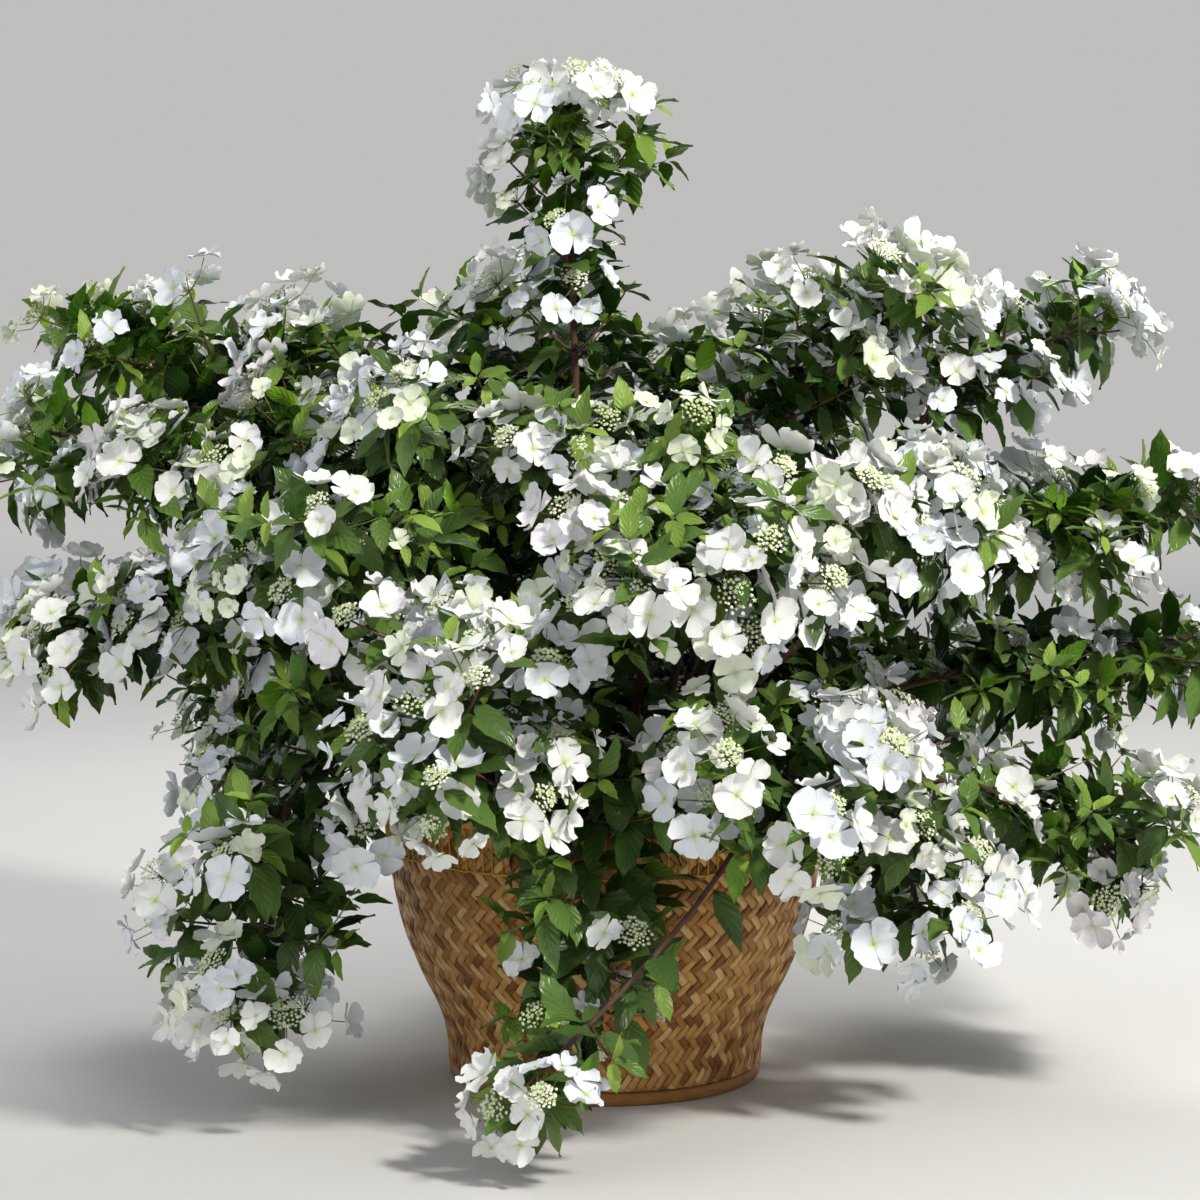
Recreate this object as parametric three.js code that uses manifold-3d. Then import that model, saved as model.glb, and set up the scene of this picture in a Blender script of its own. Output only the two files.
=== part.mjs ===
// A lacecap hydrangea shrub of trailing habit in a woven bamboo basket, in millimetres.
// The origin is the middle of the basket's flat underside. +Z is up, and -Y is the shrub's front.
import * as THREE from 'three';
import { mergeVertices } from 'three/addons/utils/BufferGeometryUtils.js';
import Module from 'manifold-3d';

const wasm = await Module();
wasm.setup();

// The basket
const FOOT_RADIUS = 157;
const FOOT_HEIGHT = 14;
const WALL_THICKNESS = 7;
const RIM_HEIGHT = 292;
const RIM_BAND = { height: 16, proud: 6, cover: 3 };
const BASKET_SIDES = 32;
// The wall's outer radius at each height: a straight waist, then a flare that eases off at the rim
const WALL_OUTLINE = [
  { height: 14, radius: 158 }, { height: 42, radius: 159 }, { height: 66, radius: 165 },
  { height: 100, radius: 183 }, { height: 150, radius: 204 }, { height: 208, radius: 216 },
  { height: 289, radius: 222 },
];

// The soil
const SOIL_HEIGHT = 262;
const SOIL_EDGE_DROP = 10;
const SOIL_FLAT_RADIUS = 150;

const GAP = 0.3; // between pieces that touch

// The canes stand on the soil, the tall ones inside and the low ones outside
const CANE = { footRadius: 5.4, entryRadius: 3.6, sides: 6, rings: 5 };
const FOOT_CIRCLE = { widest: 120, inwardPerHeight: 0.11, fromHeight: 150 };

// Each shoot is one cane and the spray of leaves and blossom that it carries. bearing is in degrees
// round the axis from +X, reach is from the axis to the tip, arch is the height that the bend aims at,
// bare is the share of the shoot that is bare cane, turn is how far round the foot stands, spread is
// how long its first and its last twigs are, and slender is how thick it is. Its twigs stand no higher
// than crestRoom above the shoot's highest point, below it if that is negative, and they hang no lower
// than hemRoom below the lowest point of its stem.
const SHOOTS = [
  { name: 'leader', bearing: 140, reach: 52, tip: 985, arch: 750, bare: 0.56, spread: [0.5, 0.9] },
  { name: 'right_shoulder', bearing: 354, reach: 295, tip: 805, arch: 700, bare: 0.50 },
  { name: 'far_right_high', bearing: 14, reach: 535, tip: 785, arch: 650, bare: 0.64, spread: [0.6, 0.85] },
  { name: 'right_middle', bearing: 2, reach: 585, tip: 590, arch: 545, bare: 0.55 },
  { name: 'right_lower', bearing: 4, reach: 600, tip: 436, arch: 420, bare: 0.55, hemRoom: 76 },
  {
    name: 'right_low', bearing: 350, reach: 535, tip: 205, arch: 345, bare: 0.6,
    spread: [0.85, 0.85], crestRoom: 12,
  },
  { name: 'right_hanging', bearing: 321, reach: 385, tip: 175, arch: 450, bare: 0.48, spread: [0.75, 0.75] },
  { name: 'front_right_low', bearing: 297, reach: 430, tip: 285, arch: 430, bare: 0.4 },
  { name: 'front_low', bearing: 268, reach: 300, tip: 95, arch: 455, bare: 0.5, spread: [0.8, 0.55] },
  {
    name: 'front_ground', bearing: 258, reach: 440, tip: 68, arch: 375, bare: 0.9, turn: 52,
    spread: [0.5, 0.5], slender: 0.65, crestRoom: -190,
  },
  { name: 'left_low', bearing: 213, reach: 400, tip: 85, arch: 520, bare: 0.42, spread: [0.75, 0.75] },
  { name: 'left_middle', bearing: 187, reach: 560, tip: 450, arch: 520, bare: 0.42 },
  { name: 'front_left', bearing: 221, reach: 445, tip: 530, arch: 600, bare: 0.34 },
  { name: 'far_left', bearing: 181, reach: 570, tip: 650, arch: 630, bare: 0.45 },
  { name: 'far_left_high', bearing: 163, reach: 572, tip: 760, arch: 665, bare: 0.5 },
  { name: 'left_high', bearing: 148, reach: 435, tip: 745, arch: 690, bare: 0.45 },
  { name: 'centre_high', bearing: 108, reach: 275, tip: 775, arch: 710, bare: 0.5 },
  { name: 'upper_left', bearing: 214, reach: 255, tip: 690, arch: 640, bare: 0.38 },
  { name: 'upper_front', bearing: 270, reach: 240, tip: 665, arch: 640, bare: 0.36 },
  { name: 'front_centre', bearing: 250, reach: 435, tip: 320, arch: 545, bare: 0.34 },
  { name: 'front_right', bearing: 285, reach: 425, tip: 520, arch: 600, bare: 0.36 },
  { name: 'right_front_high', bearing: 313, reach: 410, tip: 580, arch: 615, bare: 0.34 },
  { name: 'back_left_low', bearing: 145, reach: 505, tip: 270, arch: 430, bare: 0.4 },
  { name: 'back_low', bearing: 94, reach: 480, tip: 235, arch: 440, bare: 0.4 },
  { name: 'back_right_low', bearing: 43, reach: 505, tip: 280, arch: 430, bare: 0.4 },
  { name: 'back_left', bearing: 122, reach: 525, tip: 530, arch: 590, bare: 0.4 },
  { name: 'back_upper', bearing: 52, reach: 370, tip: 735, arch: 680, bare: 0.42 },
  { name: 'back_right', bearing: 30, reach: 530, tip: 520, arch: 580, bare: 0.42 },
];
// Where a shoot's two bends lie between foot and tip, as shares of its reach and of its arch
const FIRST_BEND = { along: 0.13, up: 0.72 };
const SECOND_BEND = { along: 0.58, alongPerDroop: 0.4 };

// A spray's twigs stand in pairs on its stem, and each pair is turned from the last
const STEM = { entryRadius: 4.2, tipRadius: 3, end: 2.4 };
const PAIR_SPACING = 70;
const FIRST_PAIR = 30;
const PAIR_TWIST = 40; // degrees to either side of level
const PAIR_SPREAD = 0.25; // radians
const TWIG = { length: 158, shortest: 0.75, radius: 1.7, roll: 0.6, forward: 0.55, lift: 0.32 };
const LONG_TWIG = 95;
const SHORTER = [1, 0.8, 0.62, 0.46]; // tried in turn where a twig has no room
const TURNED = [0, 32, -32, 64, -64]; // degrees, tried for each length
const SECOND_TRY = 0.6; // of the length, with leaves in place of blossom or blossom in place of leaves
const BLOOM_CHANCE = 0.6;
const SHARED_ROOT = 40; // cubic millimetres that the two twigs of a pair share inside the stem
const SEED = { first: 4000, step: 977 };

// Leaves and blossom, larger than life, as there are fewer of them
const LEAF = {
  length: 104, width: 48, widest: 0.4, ridge: 2.4, fold: 1.6, droop: 15, root: 3.4, forward: 0.3,
};
const LEAF_SIZES = { least: 0.85, most: 1.1 };
const LEAVES_BELOW_HEAD = 72;
const FIRST_LEAVES = 12; // the least distance of leaves from the stem
const LEAFY = { middle: 0.4, end: 0.9 }; // where a twig with no blossom has its leaves
const FLORET = { radius: 31, notch: 0.66, thickness: 2.6, cup: 4, ring: 35, tilt: 0.36 };
const HEAD = { radius: 9, depth: 4, height: 7, bend: 0.75, neck: 16, lift: 0.9 };
const HEAD_ROOM = FLORET.ring + FLORET.radius + 6;

// Room that a spray keeps
const SPACE_MARGIN = 2.5; // on its own side of the halfway surface to the next shoot
const CANE_CLEARANCE = 7.5;
const GROUND_CLEARANCE = 8;
const BASKET_CLEARANCE = 12;
const CREST_ROOM = 58; // above the highest point of the shoot
const PATH_STEPS = 22;

const UP = new THREE.Vector3(0, 0, 1);
const radians = THREE.MathUtils.degToRad;

const finish = {
  bamboo: { color: 0xa9773f, roughness: 0.5, metalness: 0 },
  bambooBand: { color: 0xc9962f, roughness: 0.5, metalness: 0 },
  soil: { color: 0x2b1d14, roughness: 0.95, metalness: 0 },
  bark: { color: 0x4a2c20, roughness: 0.8, metalness: 0 },
  spray: { color: 0xcfdcc0, roughness: 0.6, metalness: 0 },
};

function namedMesh(name, geometry, look) {
  const mesh = new THREE.Mesh(geometry, new THREE.MeshStandardMaterial(look));
  mesh.name = name;
  return mesh;
}

/** The same draws for the same seed, each between low and high. */
function seededDraws(seed) {
  let state = seed >>> 0;
  return (low = 0, high = 1) => {
    state = (Math.imul(state, 1664525) + 1013904223) >>> 0;
    return low + (high - low) * state / 4294967296;
  };
}

// Basket and soil

/** The wall's outer radius at a height. */
function wallRadius(height) {
  const above = WALL_OUTLINE.findIndex((point) => point.height >= height);
  if (above === 0) return WALL_OUTLINE[0].radius;
  if (above < 0) return WALL_OUTLINE.at(-1).radius;
  const [low, high] = [WALL_OUTLINE[above - 1], WALL_OUTLINE[above]];
  const share = (height - low.height) / (high.height - low.height);
  return THREE.MathUtils.lerp(low.radius, high.radius, share);
}

/** A solid turned round the axis, from [radius, height] corners that go up on the outside. */
function turned(corners) {
  const points = corners.map(([radius, height]) => new THREE.Vector2(radius, height));
  const lathe = new THREE.LatheGeometry(points, BASKET_SIDES);
  lathe.deleteAttribute('normal');
  lathe.deleteAttribute('uv');
  return mergeVertices(lathe, 1e-4).rotateX(Math.PI / 2);
}

function basketFoot() {
  return turned([[0, 0], [FOOT_RADIUS, 0], [FOOT_RADIUS, FOOT_HEIGHT], [0, FOOT_HEIGHT]]);
}

function basketWall() {
  const outside = WALL_OUTLINE.map(({ height, radius }) => [radius, height]);
  outside[0][1] = FOOT_HEIGHT + GAP;
  const inside = outside.map(([radius, height]) => [radius - WALL_THICKNESS, height]).reverse();
  return turned([...outside, ...inside, outside[0]]);
}

/** A band round the top of the wall, with a lip over its edge. */
function basketRim() {
  const wallTop = WALL_OUTLINE.at(-1).height;
  const inner = wallRadius(wallTop) + GAP;
  const outer = inner + RIM_BAND.proud;
  const bottom = RIM_HEIGHT - RIM_BAND.height;
  const lip = wallRadius(wallTop) - WALL_THICKNESS + RIM_BAND.cover;
  const corners = [
    [inner, bottom], [outer, bottom], [outer, RIM_HEIGHT], [lip, RIM_HEIGHT],
    [lip, wallTop + GAP], [inner, wallTop + GAP], [inner, bottom],
  ];
  return turned(corners);
}

function pottingSoil() {
  const edge = SOIL_HEIGHT - SOIL_EDGE_DROP;
  const inner = (height) => wallRadius(height) - WALL_THICKNESS - GAP;
  const side = WALL_OUTLINE.filter(({ height }) => height > FOOT_HEIGHT && height < edge)
    .map(({ height }) => [inner(height), height]);
  const floor = FOOT_HEIGHT + GAP;
  return turned([
    [0, floor], [inner(floor), floor], ...side, [inner(edge), edge],
    [SOIL_FLAT_RADIUS, SOIL_HEIGHT], [0, SOIL_HEIGHT],
  ]);
}

// Shoots

/** The curve of a shoot from the soil to its tip. */
function shootCurve({ bearing, reach, tip, arch, turn = 0 }) {
  const below = Math.max(0, tip - FOOT_CIRCLE.fromHeight);
  const foot = FOOT_CIRCLE.widest - FOOT_CIRCLE.inwardPerHeight * below;
  const droop = Math.max(0, (arch - tip) / arch);
  const place = (along, height, offBearing) => {
    const angle = radians(bearing + offBearing);
    const radius = foot + (reach - foot) * along;
    return new THREE.Vector3(radius * Math.cos(angle), radius * Math.sin(angle), height);
  };
  const start = SOIL_HEIGHT + GAP;
  return new THREE.CubicBezierCurve3(
    place(0, start, turn),
    place(FIRST_BEND.along, start + FIRST_BEND.up * (arch - start), turn),
    place(SECOND_BEND.along + SECOND_BEND.alongPerDroop * droop, arch, turn),
    place(1, tip, 0),
  );
}

/** Points, directions and radii at even steps along part of a curve. */
function stations(curve, from, to, startRadius, endRadius, rings) {
  return Array.from({ length: rings }, (unused, i) => {
    const share = i / (rings - 1);
    const at = THREE.MathUtils.lerp(from, to, share);
    return {
      point: curve.getPoint(at),
      along: curve.getTangent(at),
      radius: THREE.MathUtils.lerp(startRadius, endRadius, share),
    };
  });
}

/** The corners and faces of a closed tapering limb through its stations, with flat ends. */
function limbShape(rings, sides, across) {
  const corners = [];
  for (const { point, along, radius } of rings) {
    const side = squareTo(along, across);
    const other = along.clone().cross(side);
    for (let k = 0; k < sides; k += 1) {
      const angle = Math.PI / 2 + 2 * Math.PI * k / sides;
      corners.push(point.clone()
        .addScaledVector(side, radius * Math.cos(angle))
        .addScaledVector(other, radius * Math.sin(angle)));
    }
  }
  const faces = [];
  for (let i = 0; i + 1 < rings.length; i += 1) {
    for (let k = 0; k < sides; k += 1) {
      const a = i * sides + k;
      const b = i * sides + (k + 1) % sides;
      faces.push([a, b, b + sides], [a, b + sides, a + sides]);
    }
  }
  const last = (rings.length - 1) * sides;
  for (let k = 1; k + 1 < sides; k += 1) {
    faces.push([0, k + 1, k], [last, last + k, last + k + 1]);
  }
  return { corners, faces };
}

/** A direction square to an axis, turned about it from a first direction. */
function squareTo(axis, first, angle = 0) {
  const side = first.clone().addScaledVector(axis, -first.dot(axis));
  if (side.lengthSq() < 1e-6) side.set(1, 0, 0).addScaledVector(axis, -axis.x);
  return side.normalize().applyAxisAngle(axis, angle);
}

/** The same shape with some of its faces taken away and others in their place. */
function swapFaces(shape, gone, corners, faces) {
  const key = (face) => [...face].sort((a, b) => a - b).join();
  const taken = new Set(gone.map(key));
  return {
    corners: [...shape.corners, ...corners],
    faces: [...shape.faces.filter((face) => !taken.has(key(face))), ...faces],
  };
}

function middleOf(points) {
  return points.reduce((sum, point) => sum.add(point), new THREE.Vector3()).divideScalar(points.length);
}

/** A leaf grown out of one side of a three-sided twig, from a ring to the next, clear of any head. */
function withLeaf(twig, ring, side, size, head) {
  const middleOfRing = (i) => middleOf(twig.corners.slice(i * 3, i * 3 + 3));
  const along = middleOfRing(ring + 1).sub(middleOfRing(ring)).normalize();
  const [a, b] = [ring * 3 + side, ring * 3 + (side + 1) % 3];
  const quad = [a, b, b + 3, a + 3];
  const root = middleOf(quad.map((k) => twig.corners[k]));
  const sideways = squareTo(along, root.clone().sub(middleOfRing(ring)));
  const out = sideways.addScaledVector(along, LEAF.forward).normalize();
  const upper = squareTo(out, UP.clone().add(along));

  // The quad is turned until its last side, from q3 to q0, is the one that faces up
  const edgeMiddle = (k) => twig.corners[quad[k % 4]].clone().lerp(twig.corners[quad[(k + 1) % 4]], 0.5);
  const top = [0, 1, 2, 3].reduce((best, k) => (
    edgeMiddle(k).dot(upper) > edgeMiddle(best).dot(upper) ? k : best));
  const [q0, q1, q2, q3] = [1, 2, 3, 4].map((k) => quad[(top + k) % 4]);
  const across = upper.clone().cross(out);
  if (across.dot(edgeMiddle(top + 3).sub(edgeMiddle(top + 1))) < 0) across.negate();
  const at = (share, wide, high) => root.clone().addScaledVector(out, LEAF.length * size * share)
    .addScaledVector(across, LEAF.width / 2 * size * wide).addScaledVector(upper, high);
  const corners = [
    at(LEAF.widest, -1, -LEAF.fold), at(LEAF.widest, 1, -LEAF.fold),
    at(LEAF.widest, 0, LEAF.ridge), at(1, 0, -LEAF.droop),
  ];
  if (head && corners.some((corner) => corner.distanceTo(head) < HEAD_ROOM)) return twig;
  const [near, far, ridge, tip] = [0, 1, 2, 3].map((k) => twig.corners.length + k);
  return swapFaces(twig, [[a, b, b + 3], [a, b + 3, a + 3]], corners, [
    [q0, q1, near], [q1, q2, far], [q1, far, near], [q2, q3, far], [q3, q0, ridge],
    [q0, near, ridge], [q3, ridge, far], [near, far, tip], [ridge, near, tip], [far, ridge, tip],
  ]);
}

/** A four-lobed floret grown out of a face of a flower head, its fourth lobe lost in the head. */
function withFloret(shape, [p, q, r], head, facing) {
  const outward = squareTo(facing, shape.corners[p].clone().lerp(shape.corners[q], 0.5).sub(head));
  const x = outward.clone().addScaledVector(facing, -FLORET.tilt).normalize();
  const z = facing.clone().addScaledVector(outward, FLORET.tilt).normalize();
  const y = z.clone().cross(x);
  const middle = head.clone().addScaledVector(x, FLORET.ring);
  const outline = Array.from({ length: 7 }, (unused, i) => {
    const radius = FLORET.radius * (i % 2 ? 1 : FLORET.notch);
    const angle = (i - 3) * Math.PI / 4;
    return middle.clone().addScaledVector(x, radius * Math.cos(angle))
      .addScaledVector(y, radius * Math.sin(angle)).addScaledVector(z, FLORET.cup);
  });
  const first = shape.corners.length;
  const last = first + outline.length - 1;
  const [upper, under] = [last + 1, last + 2];
  const rims = outline.slice(1).map((unused, i) => [first + i, first + i + 1]);
  return swapFaces(shape, [[p, q, r]], [
    ...outline,
    middle.clone().addScaledVector(z, FLORET.thickness / 2),
    middle.clone().addScaledVector(z, -FLORET.thickness / 2),
  ], [
    [p, q, under], [p, under, first], [q, last, under], [p, first, r], [last, q, r],
    [r, first, upper], [r, upper, last],
    ...rims.map(([i, next]) => [upper, i, next]), ...rims.map(([i, next]) => [under, next, i]),
  ]);
}

/** A flower head on the twig's last ring, with a floret on each of its three sides. */
function withBlossom(twig, ring, end, facing) {
  const last = ring * 3;
  const axis = middleOf(twig.corners.slice(last, last + 3));
  const knob = [0, 1, 2].map((k) => end.clone().addScaledVector(facing, -HEAD.depth)
    .addScaledVector(squareTo(facing, twig.corners[last + k].clone().sub(axis)), HEAD.radius));
  const first = twig.corners.length;
  const apex = first + 3;
  const sides = [0, 1, 2].map((k) => [k, (k + 1) % 3]);
  const grown = swapFaces(twig, [[last, last + 1, last + 2]], [
    ...knob,
    end.clone().addScaledVector(facing, HEAD.height),
  ], [
    ...sides.flatMap(([k, next]) => [
      [last + k, last + next, first + next], [last + k, first + next, first + k],
    ]),
    ...sides.map(([k, next]) => [first + k, first + next, apex]),
  ]);
  return sides.reduce((shape, [k, next]) => (
    withFloret(shape, [first + k, first + next, apex], end, facing)), grown);
}

/** Which way a flower head looks: up and out from the axis, but not far off its twig's own line. */
function outOfCrown(at, along) {
  const wanted = new THREE.Vector3(at.x, at.y, 0).normalize().addScaledVector(UP, HEAD.lift).normalize();
  const off = wanted.angleTo(along);
  if (off < HEAD.bend) return wanted;
  return squareTo(along, wanted).multiplyScalar(Math.tan(HEAD.bend)).add(along).normalize();
}

// Room for each spray

const shoots = SHOOTS.map((shoot, index) => {
  const curve = shootCurve(shoot);
  const path = Array.from({ length: PATH_STEPS + 1 }, (unused, i) => curve.getPoint(i / PATH_STEPS));
  const entry = Math.round(shoot.bare * PATH_STEPS);
  const [canePath, stemPath] = [path.slice(0, entry + 1), path.slice(entry)];
  const { crestRoom = CREST_ROOM, hemRoom = Infinity } = shoot;
  const highest = Math.max(...path.map((point) => point.z)) + crestRoom;
  const lowest = Math.max(GROUND_CLEARANCE, Math.min(...stemPath.map((point) => point.z)) - hemRoom);
  const stemLength = curveLength(curve, shoot.bare, 1);
  return { ...shoot, index, curve, highest, lowest, stemLength, canePath, stemPath };
});

const line = new THREE.Line3();
const nearest = new THREE.Vector3();

function distanceTo(path, point) {
  let least = Infinity;
  for (let i = 0; i + 1 < path.length; i += 1) {
    line.set(path[i], path[i + 1]).closestPointToPoint(point, true, nearest);
    least = Math.min(least, nearest.distanceTo(point));
  }
  return least;
}

/** Whether a point is nearer to its own stem than to any other, clear of canes, basket and ground. */
function hasRoom(point, shoot) {
  if (point.z < shoot.lowest || point.z > shoot.highest) return false;
  const clearOfBasket = Math.hypot(point.x, point.y) > wallRadius(RIM_HEIGHT) + BASKET_CLEARANCE;
  if (point.z < RIM_HEIGHT + BASKET_CLEARANCE && !clearOfBasket) return false;
  const own = distanceTo(shoot.stemPath, point) + SPACE_MARGIN;
  return shoots.every((other) => distanceTo(other.canePath, point) > CANE_CLEARANCE
    && (other === shoot || distanceTo(other.stemPath, point) > Math.max(own, CANE_CLEARANCE)));
}

/** Whether the corners of a shape and the middles of its edges all have room. */
function shapeHasRoom({ corners, faces }, shoot) {
  const middles = faces.map(([a, b]) => corners[a].clone().lerp(corners[b], 0.5));
  return [...corners, ...middles].every((point) => hasRoom(point, shoot));
}

// Canes and sprays

function canePiece({ curve, bare, bearing, turn = 0, slender = 1 }) {
  const rings = stations(curve, 0, bare, slender * CANE.footRadius, slender * CANE.entryRadius, CANE.rings);
  const angle = radians(bearing + turn + 90);
  const across = new THREE.Vector3(Math.cos(angle), Math.sin(angle), 0);
  const shape = limbShape(rings, CANE.sides, across);
  const foot = rings[0].point.z;
  shape.corners.slice(0, CANE.sides).forEach((corner) => corner.setZ(foot));
  return geometryOf(solidOf(shape));
}

/** A twig's shape without its first ring, which lies inside the stem. */
function beyondRoot({ corners, faces }) {
  const kept = faces.filter((face) => face.every((corner) => corner > 2));
  return { corners: corners.slice(3), faces: kept.map((face) => face.map((corner) => corner - 3)) };
}

/** One side twig with its leaves and, where it blooms, its blossom, or nothing if it has no room. */
function sideTwig(shoot, { start, along, angle }, length, blooms, grown, draw) {
  const roll = draw(-TWIG.roll, TWIG.roll);
  const leafSize = draw(LEAF_SIZES.least, LEAF_SIZES.most);
  const tries = SHORTER.flatMap((share) => TURNED.map((turn) => [share, radians(turn)]));
  for (const [share, turn] of tries) {
    const direction = squareTo(along, UP.clone().cross(along), angle + turn)
      .addScaledVector(along, TWIG.forward).addScaledVector(UP, TWIG.lift).normalize();
    const reach = length * share;
    const at = (distance) => ({
      point: start.clone().addScaledVector(direction, distance), along: direction, radius: TWIG.radius,
    });
    const across = squareTo(direction, UP.clone().cross(direction), roll);
    const shape = blooms
      ? bloomingTwig(at, reach, across, direction, leafSize)
      : leafyTwig(at, reach, across, leafSize);
    if (!shapeHasRoom(beyondRoot(shape), shoot)) continue;
    const solid = solidOf(shape);
    if (grown.every((other) => other.intersect(solid).volume() < SHARED_ROOT)) return solid;
  }
  return null;
}

/** A pair of opposite leaves between two rings of a twig. */
function withPair(twig, ring, size, head) {
  return withLeaf(withLeaf(twig, ring, 0, size, head), ring, 2, size, head);
}

/** A twig that ends in blossom, with a pair of leaves well below the head where it is long enough. */
function bloomingTwig(at, reach, across, direction, leafSize) {
  const end = at(reach).point;
  const leafAt = reach - LEAVES_BELOW_HEAD;
  const leafRings = leafAt > FIRST_LEAVES ? [at(leafAt - LEAF.root), at(leafAt)] : [];
  const rings = [at(0), ...leafRings, at(reach - HEAD.neck)];
  const bare = limbShape(rings, 3, across);
  const twig = leafRings.length ? withPair(bare, 1, leafSize, end) : bare;
  return withBlossom(twig, rings.length - 1, end, outOfCrown(end, direction));
}

/** A twig with a pair of leaves near its end and, on a long one, another at its middle. */
function leafyTwig(at, reach, across, leafSize) {
  const places = (reach < LONG_TWIG ? [LEAFY.end] : [LEAFY.middle, LEAFY.end]).map((share) => share * reach);
  const rings = [at(0), ...places.flatMap((place) => [at(place - LEAF.root), at(place)]), at(reach)];
  return places.reduce(
    (twig, place, i) => withPair(twig, 2 * i + 1, leafSize),
    limbShape(rings, 3, across),
  );
}

/** The share of its curve at a distance back from a shoot's tip. */
function backFromTip(curve, distance) {
  return curve.getUtoTmapping(0, curve.getLength() - distance);
}

/** Where the pairs of twigs stand on a shoot, as shares of its curve. */
function pairPlaces({ curve, stemLength }) {
  const last = LEAVES_BELOW_HEAD + 2 * LEAF.root;
  const first = stemLength - FIRST_PAIR;
  const pairs = Math.max(1, Math.round((first - last) / PAIR_SPACING));
  const spacing = (first - last) / pairs;
  return Array.from({ length: pairs }, (unused, k) => backFromTip(curve, first - k * spacing));
}

/** The stem of a spray, with a pair of leaves and blossom at its tip. */
function stemSolid({ curve, stemLength, slender = 1 }, places) {
  const start = backFromTip(curve, stemLength - GAP);
  const ends = [LEAVES_BELOW_HEAD + LEAF.root, LEAVES_BELOW_HEAD, HEAD.neck]
    .map((distance) => backFromTip(curve, distance));
  const stops = [start, ...places, ...ends];
  const rings = stops.map((at, i) => ({
    point: curve.getPoint(at),
    along: curve.getTangent(at),
    radius: slender * THREE.MathUtils.lerp(STEM.entryRadius, STEM.tipRadius, i / (stops.length - 1)),
  }));
  rings.at(-1).radius = slender * STEM.end;
  const leafRing = rings.length - 3;
  const tip = curve.getPoint(1);
  const bareStem = limbShape(rings, 3, UP.clone().cross(rings[leafRing].along));
  const facing = outOfCrown(tip, curve.getTangent(1));
  return solidOf(withBlossom(withPair(bareStem, leafRing, 1, tip), rings.length - 1, tip, facing));
}

function sprayPiece(shoot) {
  const draw = seededDraws(SEED.first + SEED.step * shoot.index);
  const { curve, spread = [1, 1] } = shoot;
  const places = pairPlaces(shoot);
  const stem = stemSolid(shoot, places);
  const grown = [];
  places.forEach((at, k) => {
    const twist = radians(k % 2 ? PAIR_TWIST : -PAIR_TWIST) + draw(-PAIR_SPREAD, PAIR_SPREAD);
    const longest = TWIG.length * THREE.MathUtils.lerp(...spread, (k + 0.5) / places.length);
    for (const turn of [0, Math.PI]) {
      const length = longest * draw(TWIG.shortest, 1);
      const blooms = draw() < BLOOM_CHANCE;
      const place = { start: curve.getPoint(at), along: curve.getTangent(at), angle: twist + turn };
      const twig = sideTwig(shoot, place, length, blooms, grown, draw)
        ?? sideTwig(shoot, place, length * SECOND_TRY, !blooms, grown, draw);
      if (twig) grown.push(twig);
    }
  });
  return geometryOf(largestBody(wasm.Manifold.union([stem, ...grown])));
}

function curveLength(curve, from, to) {
  const steps = 40;
  let length = 0;
  let last = curve.getPoint(from);
  for (let i = 1; i <= steps; i += 1) {
    const next = curve.getPoint(THREE.MathUtils.lerp(from, to, i / steps));
    length += next.distanceTo(last);
    last = next;
  }
  return length;
}

function solidOf({ corners, faces }) {
  const vertProperties = new Float32Array(corners.flatMap((corner) => corner.toArray()));
  return new wasm.Manifold(new wasm.Mesh({
    numProp: 3,
    vertProperties,
    triVerts: new Uint32Array(faces.flat()),
  }));
}

/** Drops what fusing left loose. */
function largestBody(solid) {
  return solid.decompose().reduce((best, body) => (body.volume() > best.volume() ? body : best));
}

function geometryOf(solid) {
  const { vertProperties, triVerts } = solid.getMesh();
  const geometry = new THREE.BufferGeometry();
  geometry.setAttribute('position', new THREE.BufferAttribute(vertProperties, 3));
  geometry.setIndex(new THREE.BufferAttribute(triVerts, 1));
  geometry.computeVertexNormals();
  return geometry;
}

const group = new THREE.Group();
group.add(namedMesh('basket_foot', basketFoot(), finish.bamboo));
group.add(namedMesh('basket_wall', basketWall(), finish.bamboo));
group.add(namedMesh('basket_rim', basketRim(), finish.bambooBand));
group.add(namedMesh('soil', pottingSoil(), finish.soil));
for (const shoot of shoots) {
  group.add(namedMesh(`cane_${shoot.name}`, canePiece(shoot), finish.bark));
  group.add(namedMesh(`spray_${shoot.name}`, sprayPiece(shoot), finish.spray));
}

export default group;
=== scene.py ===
# %% [markdown]
# # A lacecap hydrangea in a woven bamboo basket
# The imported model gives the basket, the soil, the canes and one solid for each spray of leaves and
# blossom. Here the basket gets its weave, the canes get bark, and each spray becomes twigs, leaves and
# flowers that grow by the same rule as the solids, only finer.

import math

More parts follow.
